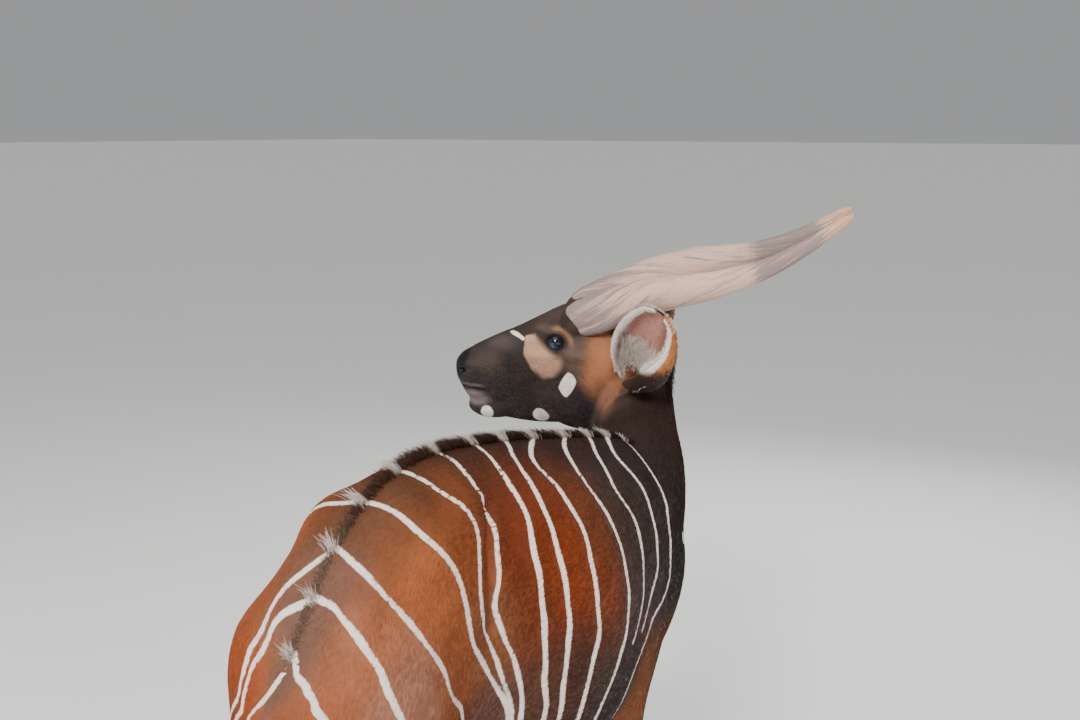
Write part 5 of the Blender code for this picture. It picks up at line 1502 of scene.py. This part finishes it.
class BONGO_OT_eyes(bpy.types.Operator):
    """The eyeballs with a bulging cornea, and the rims of the lids"""

    bl_idname = "bongo.eyes"
    bl_label = "Eyes and lids"

    def execute(self, context):
        glass = self.eye_material()
        rim = self.lid_material()
        for name, side in SIDES:
            verts, faces, ring, blue = self.eyeball(side)
            made = put_mesh("eyeball_" + name, verts, faces)
            set_values(made.data, "ring", "FLOAT", ring)
            set_values(made.data, "blue", "FLOAT", blue)
            finish(made, glass, "eye", "eye_" + name)
            verts, faces, inner, grid = self.lids(side)
            made = put_mesh("lids_" + name, verts, faces)
            set_values(made.data, "inner", "FLOAT", inner)
            finish(made, rim, "coat")
            self.lashes(name, side, grid, np.random.default_rng(19))
        return {"FINISHED"}

    def eyeball(self, side, up=56, around=72):
        """Rings of radius R sin t at R cos t along the sight, with R 1.1 mm exp(-(t / 0.5)^2) larger."""
        t = np.linspace(0.02, np.pi - 0.02, up)
        a = circle(around)
        radius = EYE_RADIUS - 0.0006 + 0.0011 * bell(t, 0.5)
        ring = np.cos(a)[None, :, None] * EYE_WIDE + np.sin(a)[None, :, None] * EYE_TALL
        grid = (EYE_CENTRE + (radius * np.cos(t))[:, None, None] * EYE_LOOKS
                + (radius * np.sin(t))[:, None, None] * ring)
        u, v = np.sin(t)[:, None] * np.cos(a), np.sin(t)[:, None] * np.sin(a)
        front = np.cos(t)[:, None] > 0
        off = np.where(front, np.hypot(u * 0.72, v * 1.15), 1.5)
        # Painted reflection: a blue patch low in the iris, off its middle
        blue = np.where(front, np.exp(-(((u - 0.2) / 0.26) ** 2 + ((v + 0.24) / 0.24) ** 2)), 0.0)
        return (*closed(grid, side), np.concatenate([off.ravel(), [0.0, 1.5]]),
                np.concatenate([blue.ravel(), [0.9, 0.0]]))

    def lids(self, side, around=120, across=18):
        """Band (a, s) round the opening: from the ball's surface over a rounded rim out to the skin.

        The opening is an almond: half width 18 mm, half height 15 mm, with a point in front.
        The rim is 2 mm sin(1.7 pi s)^0.7 thick, half as much again above. Each lid has a soft fold.
        """
        a = circle(around)[:, None]
        s = np.linspace(0, 1, across)[None, :]
        front = np.cos(a) * (1.0 if EYE_WIDE[0] > 0 else -1.0)
        open_x = 0.0176 + 0.0032 * smooth(front, 0.8, 1.0)
        open_y = np.where(np.sin(a) > 0, 0.0152, 0.0146)
        spread = 1 + s * 0.55
        x = open_x * np.cos(a) * spread
        y = open_y * np.sin(a) * spread * (1 - 0.2 * np.abs(front) ** 3) - 0.0022 * smooth(front, 0.5, 1.0)
        rim = np.hypot(x, y)
        on_ball = np.sqrt(np.maximum(EYE_RADIUS ** 2 - np.minimum(rim, EYE_RADIUS * 0.985) ** 2, 0))
        upper = np.clip(np.sin(a), 0, 1)
        thick = 0.0002 + 0.002 * np.sin(np.pi * np.clip(s * 1.7, 0, 1)) ** 0.7 * (1 + 0.5 * upper)
        fold = 0.0016 * upper * bell(s - 0.72, 0.1) + 0.0009 * (1 - upper) * bell(s - 0.8, 0.1)
        height = on_ball + thick
        place = EYE_CENTRE + x[..., None] * EYE_WIDE + y[..., None] * EYE_TALL
        starts = from_head((place + EYE_LOOKS * 0.06).reshape(-1, 3), side)
        way = Vector(((-EYE_LOOKS * [1, side, 1]) @ HEAD_TURN.T))
        hits = [SKIN["tree"].ray_cast(Vector(p), way, 0.12)[3] for p in starts]
        skin = 0.06 - np.array([h if h is not None else 0.06 for h in hits]).reshape(x.shape)
        share = smooth(s, 0.42, 1.0)
        height = blend(height, skin - 0.0022 * smooth(s, 0.9, 1.0) + 0.0004, share) + fold
        grid = place + height[..., None] * EYE_LOOKS
        back = place + (np.minimum(height, on_ball) - 0.0045)[..., None] * EYE_LOOKS
        sheet = np.concatenate([grid, back[:, ::-1]], 1)
        verts = from_head(sheet.reshape(-1, 3), side)
        inner = np.concatenate([1 - s.repeat(around, 0), np.ones((around, across))], 1)
        inner[:, :across] += smooth(front, 0.93, 0.99) * (1 - smooth(s, 0.0, 0.3))
        return verts, outward(verts, [cells(around, *sheet.shape[:2])]), inner.ravel(), grid

    def lashes(self, name, side, grid, rng):
        """Dark lashes on the upper lid's rim, curving out and down."""
        around = grid.shape[0]
        pick = rng.integers(int(around * 0.04), int(around * 0.46), 150)
        roots = grid[pick, 3] + rng.normal(0, 0.0003, (150, 3))
        out = unit(grid[pick, 8] - grid[pick, 1])
        start = EYE_LOOKS * 0.9 + out * 0.35 + rng.normal(0, 0.1, (150, 3))
        end = EYE_LOOKS * 0.5 + out * 0.75 + rng.normal(0, 0.15, (150, 3))
        layout = np.tile([0.7, 0.72], (150, 1)) + rng.uniform(0, 0.02, (150, 2))
        long_locks("lashes_" + name, from_head(roots, side), way_from_head(start, side),
                   way_from_head(end, side), rng.uniform(0.005, 0.01, 150), 0.0004, [.008, .006, .006], rng,
                   layout=layout)

    def eye_material(self):
        """Dark wet eye: black pupil, a painted blue reflection low in the iris, dark white of the eye, a
        clear coat.
        """
        made, n = shader("eye_glass", 0.08, 0.35)
        ring = n.read("ring")
        rays = n.noise(n.spot(), 520.0, 3.0)
        iris = n.mix(rays, (0.0015, 0.003, 0.008, 1), (0.006, 0.01, 0.018, 1))
        # The painted blue reflection brightens the iris where the blue patch lies
        light = n.times(n.read("blue"), n.plus(n.times(rays, 0.4), 0.7))
        lit = n.mix(light, iris, (0.01, 0.045, 0.11, 1))
        edge = n.mix(n.ramp(ring, 0.62, 0.76), lit, (0.012, 0.006, 0.005, 1))
        n.into("Base Color", n.mix(n.ramp(ring, 0.9, 1.0), edge, (0.07, 0.035, 0.028, 1)))
        n.into("Coat Weight", 0.6)
        n.into("Coat Roughness", 0.03)
        return made

    def lid_material(self):
        """Lid: near-black bare skin at the edge with fine creases, brown and dull further out."""
        made, n = shader("lid_skin", 0.42)
        inner = n.read("inner")
        creases = n.noise(n.spot(), 700.0, 3.0)
        dark = n.mix(n.ramp(inner, 0.05, 0.6), (0.05, 0.03, 0.024, 1), (0.008, 0.006, 0.007, 1))
        pink = n.mix(n.ramp(inner, 1.35, 1.75), dark, (0.3, 0.17, 0.15, 1))
        n.into("Base Color", n.scaled(pink, n.plus(n.times(creases, 0.7), 0.65)))
        n.bump(creases, 0.4, 0.0006)
        return made


class BONGO_OT_ears(bpy.types.Operator):
    """The cupped ears: furred outside, bare and speckled inside, with white hair along the rim"""

    bl_idname = "bongo.ears"
    bl_label = "Ears"

    def execute(self, context):
        rng = np.random.default_rng(17)
        skin = self.material(context.scene.bongo_sizes)
        for name, side in SIDES:
            verts, faces, values, lip = self.shape(side)
            made = put_mesh("ear_" + name + "_shell", verts, faces)
            for key, data in values.items():
                set_values(made.data, key, "FLOAT", data)
            finish(made, skin, "coat", "ear_" + name)
            self.hair(name, side, lip, rng)
        return {"FINISHED"}

    def frame_of(self, count):
        """Middle line of the ear, the direction across it and the direction that the cup faces."""
        axis = unit(EAR_TIP - EAR_ROOT)
        faces_to = unit(EAR_FACES - axis * (EAR_FACES @ axis))
        across = np.cross(axis, faces_to)
        place = np.linspace(0, 1, count)
        table = interpolated([row[0] for row in EAR], EAR, place)
        t = place[:, None]
        middle = ((1 - t) ** 2 * EAR_ROOT + 2 * t * (1 - t) * EAR_KNEE + t ** 2 * EAR_TIP
                  - (0.004 * np.sin(np.pi * t)) * faces_to)
        return middle, across, faces_to, table

    def cup(self, count, around, inset, ridge=0.0):
        """Open ring (t, a) of the ear, from rim to rim: width sin a across, depth cos a behind.

        Inside, a ridge r exp(-((s - 0.28) / 0.10)^2 - ((t - 0.64) / 0.20)^2) stands up, s = -1 to 1 as a.
        """
        middle, across, faces_to, table = self.frame_of(count)
        t = np.linspace(0, 1, count)[:, None]
        s = np.linspace(-1, 1, around)[None, :]
        a = np.radians(np.where(s < 0, s * table[:, 3:4], s * table[:, 4:5]))
        lift = inset + ridge * np.exp(-(((s - 0.28) / 0.1) ** 2) - ((t - 0.64) / 0.2) ** 2)
        wide, deep = [np.maximum(table[:, n:n + 1] - lift, 0.0006) for n in (1, 2)]
        wave = 0.001 * np.sin(a * 3 + 9 * t)
        grid = (middle[:, None, :] + (wide * np.sin(a))[..., None] * across
                + (wave - deep * np.cos(a))[..., None] * faces_to)
        return grid, s * np.ones((count, 1))

    def shape(self, side, count=100, around=72):
        """The outer and the inner open ring 3 mm apart, joined along the rim."""
        outer, spot = self.cup(count, around, 0.0)
        inner, _ = self.cup(count, around, 0.0032, 0.006)
        sheet = np.concatenate([outer, inner[:, ::-1]], 1) + EAR_RIGHT_SHIFT * (side < 0)
        t = np.linspace(0, 1, count)[:, None] * np.ones((1, around))
        halves = {"place": (t, t[:, ::-1], [0, 1]), "rim": (spot, spot[:, ::-1], [0, 0]),
                  "within": (np.zeros_like(t), np.ones_like(t), [0, 0])}
        values = {key: np.append(np.concatenate([a, b], 1).ravel(), ends)
                  for key, (a, b, ends) in halves.items()}
        return *closed(sheet, side), values, (outer, inner)

    def hair(self, name, side, lip, rng):
        """Long white hair on the front rim and low inside, shorter on the rear rim, short tufts outside."""
        outer, inner = lip
        count, around = outer.shape[:2]
        middle, across, faces_to, _ = self.frame_of(count)
        axes = unit(np.gradient(middle, axis=0))
        groups = []

        def add(number, rows, columns, grid, towards, long, wide, tones, whites):
            """Hairs from places of a ring; towards weighs the four directions at root and tip."""
            root = grid[rows, columns]
            basis = (unit(middle[rows] - root), axes[rows], faces_to, across)
            ways = [sum(w * b for w, b in zip(weights, basis)) + rng.normal(0, spread, (number, 3))
                    for weights, spread in towards]
            tones = np.broadcast_to(tones, (number, 3))
            groups.append((root, ways[0], ways[1], long, np.full(number, wide), tones, whites))

        def dark(share, size):
            """White distances of hairs, a share of them dark."""
            return np.where(rng.uniform(size=size) < share, FAR_FROM_WHITE, WHITE_HAIR)

        pale = np.array([.34, .23, .17])
        n = 2900
        rows = (count * (0.06 + 0.93 * rng.uniform(size=n))).astype(int)
        add(n, rows, rng.integers(0, 7, n), outer, (((.75, .3, .45, 0), .12), ((.85, -.3, -.05, .1), .14)),
            rng.uniform(0.01, 0.022, n), 0.0012, pale, dark(0.03, n))
        n = 1200
        rows = (count * (0.63 + 0.36 * rng.uniform(size=n))).astype(int)
        tufted = bell(rows / count - 0.7, 0.06)
        add(n, rows, around - 1 - rng.integers(0, 5, n), outer,
            (((.6, .3, .4, -.1), .13), ((.6, .1, -.1, -.45), .16)),
            rng.uniform(0.007, 0.013, n) * (1 + 0.8 * tufted), 0.001, pale * 0.8,
            dark(0, n))
        n = 3900
        rows = (count * (0.05 + 0.56 * rng.beta(1.3, 1.4, n))).astype(int)
        add(n, rows, (around * rng.beta(1.1, 1.9, n) * 0.92).astype(int), inner,
            (((.45, .15, .55, .0), .13), ((.3, -.55, .2, .2), .16)), rng.uniform(0.012, 0.026, n), 0.0011,
            pale, dark(0.04, n))
        n = 3700
        rows = (count * (0.02 + 0.97 * rng.uniform(size=n))).astype(int)
        columns = rng.integers(0, around, n)
        place, edge = rows / count, columns / (around - 1) * 2 - 1
        warm = smooth(edge + 0.1 * rng.normal(size=n), 0.3, 0.6)
        warm = warm * smooth(place + 0.05 * rng.normal(size=n), 0.62, 0.76)
        warm = np.maximum(warm, 0.8 * (1 - smooth(place, 0.06, 0.2)) * (edge < 0.4))
        tones = over(np.array([.03, .016, .011]), (.42, .16, .045), warm)
        rim = (edge < -0.92) | ((edge > 0.92) & (place > 0.64)) | (place > 0.93)
        add(n, rows, columns, outer, (((-.18, 1.0, 0, 0), .09), ((-.02, 1.0, 0, 0), .09)),
            rng.uniform(0.005, 0.009, n), 0.0012, tones * rng.uniform(0.75, 1.3, (n, 1)),
            np.where(rim, WHITE_HAIR, FAR_FROM_WHITE))
        parts = [np.concatenate([group[i] for group in groups]) for i in range(7)]
        roots, starts, ends, long, wide, tones, whites = parts
        layout = np.stack([rng.uniform(0.66, 0.98, len(roots)), rng.uniform(0.76, 0.98, len(roots))], 1)
        roots = from_head(roots + EAR_RIGHT_SHIFT * (side < 0), side)
        long_locks("ear_" + name + "_hair", roots, way_from_head(starts, side), way_from_head(ends, side),
                   long, wide, tones, rng, whites, 3, layout)

    def material(self, sizes):
        """Ear: brown and orange outside; inside rosy with dark specks high up, and white low down."""
        made, n = shader("ear_skin", 0.55, 0.25)
        place, rim = n.read("place"), n.read("rim")
        spot = n.spot()
        broad = n.noise(spot, 45.0, 3.0)
        flesh = n.mix(broad, (0.4, 0.16, 0.115, 1), (0.6, 0.32, 0.26, 1))
        dots = n.times(n.rest(n.ramp(n.cells(spot, 170.0), 0.14, 0.34)), n.ramp(broad, 0.4, 0.52))
        flesh = n.mix(dots, flesh, (0.16, 0.045, 0.035, 1))
        fold = n.times(n.ramp(rim, -0.1, 0.15), n.rest(n.ramp(rim, 0.4, 0.62)))
        fold = n.times(fold, n.ramp(place, 0.45, 0.62))
        flesh = n.mix(n.times(fold, 0.85), flesh, (0.15, 0.045, 0.032, 1))
        rear = n.mix(n.ramp(rim, 0.55, 0.75), flesh, (0.34, 0.13, 0.045, 1))
        deep = n.mix(n.rest(n.ramp(place, 0.1, 0.38)), rear, (0.13, 0.055, 0.035, 1))
        pale = n.math("MAXIMUM", n.rest(n.ramp(rim, -0.8, -0.5)), n.rest(n.ramp(place, 0.42, 0.6)))
        pale = n.times(pale, n.rest(n.ramp(rim, 0.45, 0.7)))
        inside = n.mix(pale, deep, (*sizes.white, 1))
        brown = n.mix(broad, (0.02, 0.011, 0.008, 1), (0.045, 0.024, 0.015, 1))
        high = n.times(n.ramp(rim, 0.2, 0.5), n.ramp(place, 0.62, 0.76))
        outside = n.mix(high, brown, (0.38, 0.145, 0.042, 1))
        edge = n.times(n.ramp(n.math("ABSOLUTE", rim), 0.86, 0.95), n.ramp(place, 0.05, 0.15))
        low_rear = n.times(n.ramp(rim, 0.0, 0.1), n.rest(n.ramp(place, 0.6, 0.72)))
        edge = n.times(edge, n.rest(low_rear))
        n.into("Base Color", n.mix(edge, n.mix(n.read("within"), outside, inside), (*sizes.white, 1)))
        n.bump(n.plus(n.noise(spot, 500.0, 3.0), broad), 0.4, 0.001)
        return made


class BONGO_OT_hooves(bpy.types.Operator):
    """Cloven hooves of two toes each, and the dewclaws behind the fetlocks"""

    bl_idname = "bongo.hooves"
    bl_label = "Hooves"

    def execute(self, context):
        material = self.material(context.scene.bongo_sizes)
        for name, leg in LEGS.items():
            centre, heel = leg_line(*leg, [CORONET])[0][0], leg_line(*leg, [DEWCLAW_HEIGHT])[0][0]
            forward = unit(np.array([*leg[1], 0.0]))
            side = np.array([-forward[1], forward[0], 0.0])
            parts = [self.toe(centre, forward, side, sign) for sign in (-1, 1)]
            for sign in (-1, 1):
                verts, faces = ball((0, 0, 0), (0.0095, 0.0115, 0.0165), up=14, around=18)
                parts.append((verts + (heel - forward * 0.027 + side * 0.015 * sign), faces))
            finish(put_mesh("hoof_" + name + "_toes", *joined(parts)), material, "hoof", "hoof_" + name)
        return {"FINISHED"}

    def toe(self, centre, forward, side, sign, count=26, around=36):
        """Half a hoof: rings from the sole up, D-shaped in plan, each smaller than the one below."""
        z = np.linspace(0, CORONET, count)
        t = (z / CORONET)[:, None]
        a = circle(around)[None, :]
        long_front = HOOF_LENGTH * 0.62 * (1 - t) + 0.034 * t
        long_rear = HOOF_LENGTH * 0.3 * (1 - t) + 0.033 * t
        half = (HOOF_WIDTH / 4 - 0.001) * (1 - 0.1 * t)
        reach = np.where(np.cos(a) > 0, long_front, long_rear)
        x = reach * np.sign(np.cos(a)) * np.abs(np.cos(a)) ** 0.85
        taper = 1 - 0.35 * np.clip(np.cos(a), 0, 1) ** 2 * (1 - 0.4 * t)
        y = half * np.sign(np.sin(a)) * np.abs(np.sin(a)) ** 0.8 * taper
        offset = sign * (HOOF_WIDTH / 4 + 0.0006) * (1 - 0.03 * t)
        growth = 0.0004 * np.sin(t * 40)
        return closed(np.array([centre[0], centre[1], 0.0]) + (x + growth)[..., None] * forward
                      + (y + offset)[..., None] * side + (t * CORONET)[..., None] * [0, 0, 1.0])

    def material(self, sizes):
        """Horny wall: near black, with level growth lines and dusty paler lower edges."""
        made, n = shader("hoof_horn", 0.45, 0.25)
        spot = n.spot()
        dust = n.noise(spot, 60.0, 4.0)
        low = n.rest(n.ramp(n.add("ShaderNodeSeparateXYZ", {0: spot}).outputs[2], 0.0, 0.022))
        colour = n.mix(n.times(dust, 0.3), (*sizes.hoof_dark, 1), (0.04, 0.032, 0.027, 1))
        n.into("Base Color", n.mix(n.times(low, n.times(dust, 0.7)), colour, (0.17, 0.14, 0.11, 1)))
        n.bump(n.noise(n.drawn(spot, (20, 20, 600)), 1.0, 3.0), 0.5, 0.0008)
        return made


class BONGO_OT_stage(bpy.types.Operator):
    """Pale floor, soft studio lights and the camera"""

    bl_idname = "bongo.stage"
    bl_label = "Stage"

    def execute(self, context):
        scene = context.scene
        corners = np.array([[-1, -1, 0], [1, -1, 0], [1, 1, 0], [-1, 1, 0]]) * FLOOR_HALF_SIZE
        floor = put_mesh("floor", corners, [np.array([[0, 1, 2, 3]])])
        paint, n = shader("floor_paint", 0.8, 0.1)
        n.into("Base Color", n.mix(n.noise(n.spot(), 1.5, 4.0), (0.76, 0.75, 0.73, 1), (0.81, 0.8, 0.78, 1)))
        floor.data.materials.append(paint)
        camera = bpy.data.cameras.new("photo_camera")
        camera.lens = 1311.6 / 1080 * 36
        camera.sensor_width = 36
        camera.sensor_fit = "HORIZONTAL"
        holder = self.placed("photo_camera", camera)
        holder.location = Vector((-1.618, 2.123, 1.909)) + Vector(MOVE)
        ahead = Vector((0.593, -0.786, -0.175)).normalized()
        holder.rotation_euler = ahead.to_track_quat("-Z", "Y").to_euler()
        scene.camera = holder
        self.light("key", (-2.0, 4.6, 4.6), (0.0, 0.0, 1.1), 1.6, 430, True)
        sky = bpy.data.lights.new("sky", "SUN")
        sky.energy = 1.1
        sky.angle = math.radians(60)
        self.placed("sky", sky).rotation_euler = (math.radians(-28), math.radians(-10), 0)
        self.light("side", (-4.6, -0.4, 2.8), (0.0, 0.0, 1.0), 2.6, 90, False)
        self.light("fill", (3.4, 3.0, 2.8), (0.0, 0.0, 1.0), 2.6, 110, False)
        self.light("front", (0.8, -4.4, 3.0), (0.0, 0.0, 1.0), 2.6, 110, False)
        world = bpy.data.worlds.new("studio")
        world.use_nodes = True
        back = world.node_tree.nodes["Background"]
        back.inputs[0].default_value = (0.82, 0.83, 0.85, 1)
        back.inputs[1].default_value = 0.42
        scene.world = world
        return {"FINISHED"}

    def placed(self, name, data):
        """A new object of the scene that holds a lamp or a camera."""
        holder = bpy.data.objects.new(name, data)
        bpy.context.scene.collection.objects.link(holder)
        return holder

    def light(self, name, place, target, size, power, gleams):
        """A round lamp aimed at a point; gleams says whether glossy surfaces show it."""
        lamp = bpy.data.lights.new(name, "AREA")
        lamp.shape = "DISK"
        lamp.size = size
        lamp.energy = power
        holder = self.placed(name, lamp)
        holder.location = place
        holder.visible_glossy = gleams
        holder.rotation_euler = (Vector(target) - Vector(place)).to_track_quat("-Z", "Y").to_euler()


class BONGO_PT_panel(bpy.types.Panel):
    """Sizes, colours and the pieces' operators"""

    bl_idname = "BONGO_PT_panel"
    bl_label = "Bongo antelope"
    bl_space_type = "VIEW_3D"
    bl_region_type = "UI"
    bl_category = "Bongo"

    def draw(self, context):
        sizes = context.scene.bongo_sizes
        for name in BongoSizes.__annotations__:
            self.layout.prop(sizes, name)
        for operator in OPERATORS:
            self.layout.operator(operator.bl_idname)


OPERATORS = (BONGO_OT_stage, BONGO_OT_skin, BONGO_OT_coat, BONGO_OT_crest, BONGO_OT_tail, BONGO_OT_horns,
             BONGO_OT_eyes, BONGO_OT_ears, BONGO_OT_hooves)
CLASSES = (BongoSizes, *OPERATORS, BONGO_PT_panel)


def register():
    for kind in CLASSES:
        bpy.utils.register_class(kind)
    bpy.types.Scene.bongo_sizes = bpy.props.PointerProperty(type=BongoSizes)


def unregister():
    del bpy.types.Scene.bongo_sizes
    for kind in reversed(CLASSES):
        bpy.utils.unregister_class(kind)


def main():
    """Builds every piece in order."""
    register()
    bpy.ops.bongo.stage()
    bpy.ops.bongo.skin()
    bpy.ops.bongo.coat()
    bpy.ops.bongo.crest()
    bpy.ops.bongo.tail()
    bpy.ops.bongo.horns()
    bpy.ops.bongo.eyes()
    bpy.ops.bongo.ears()
    bpy.ops.bongo.hooves()


if __name__ == "__main__":
    main()
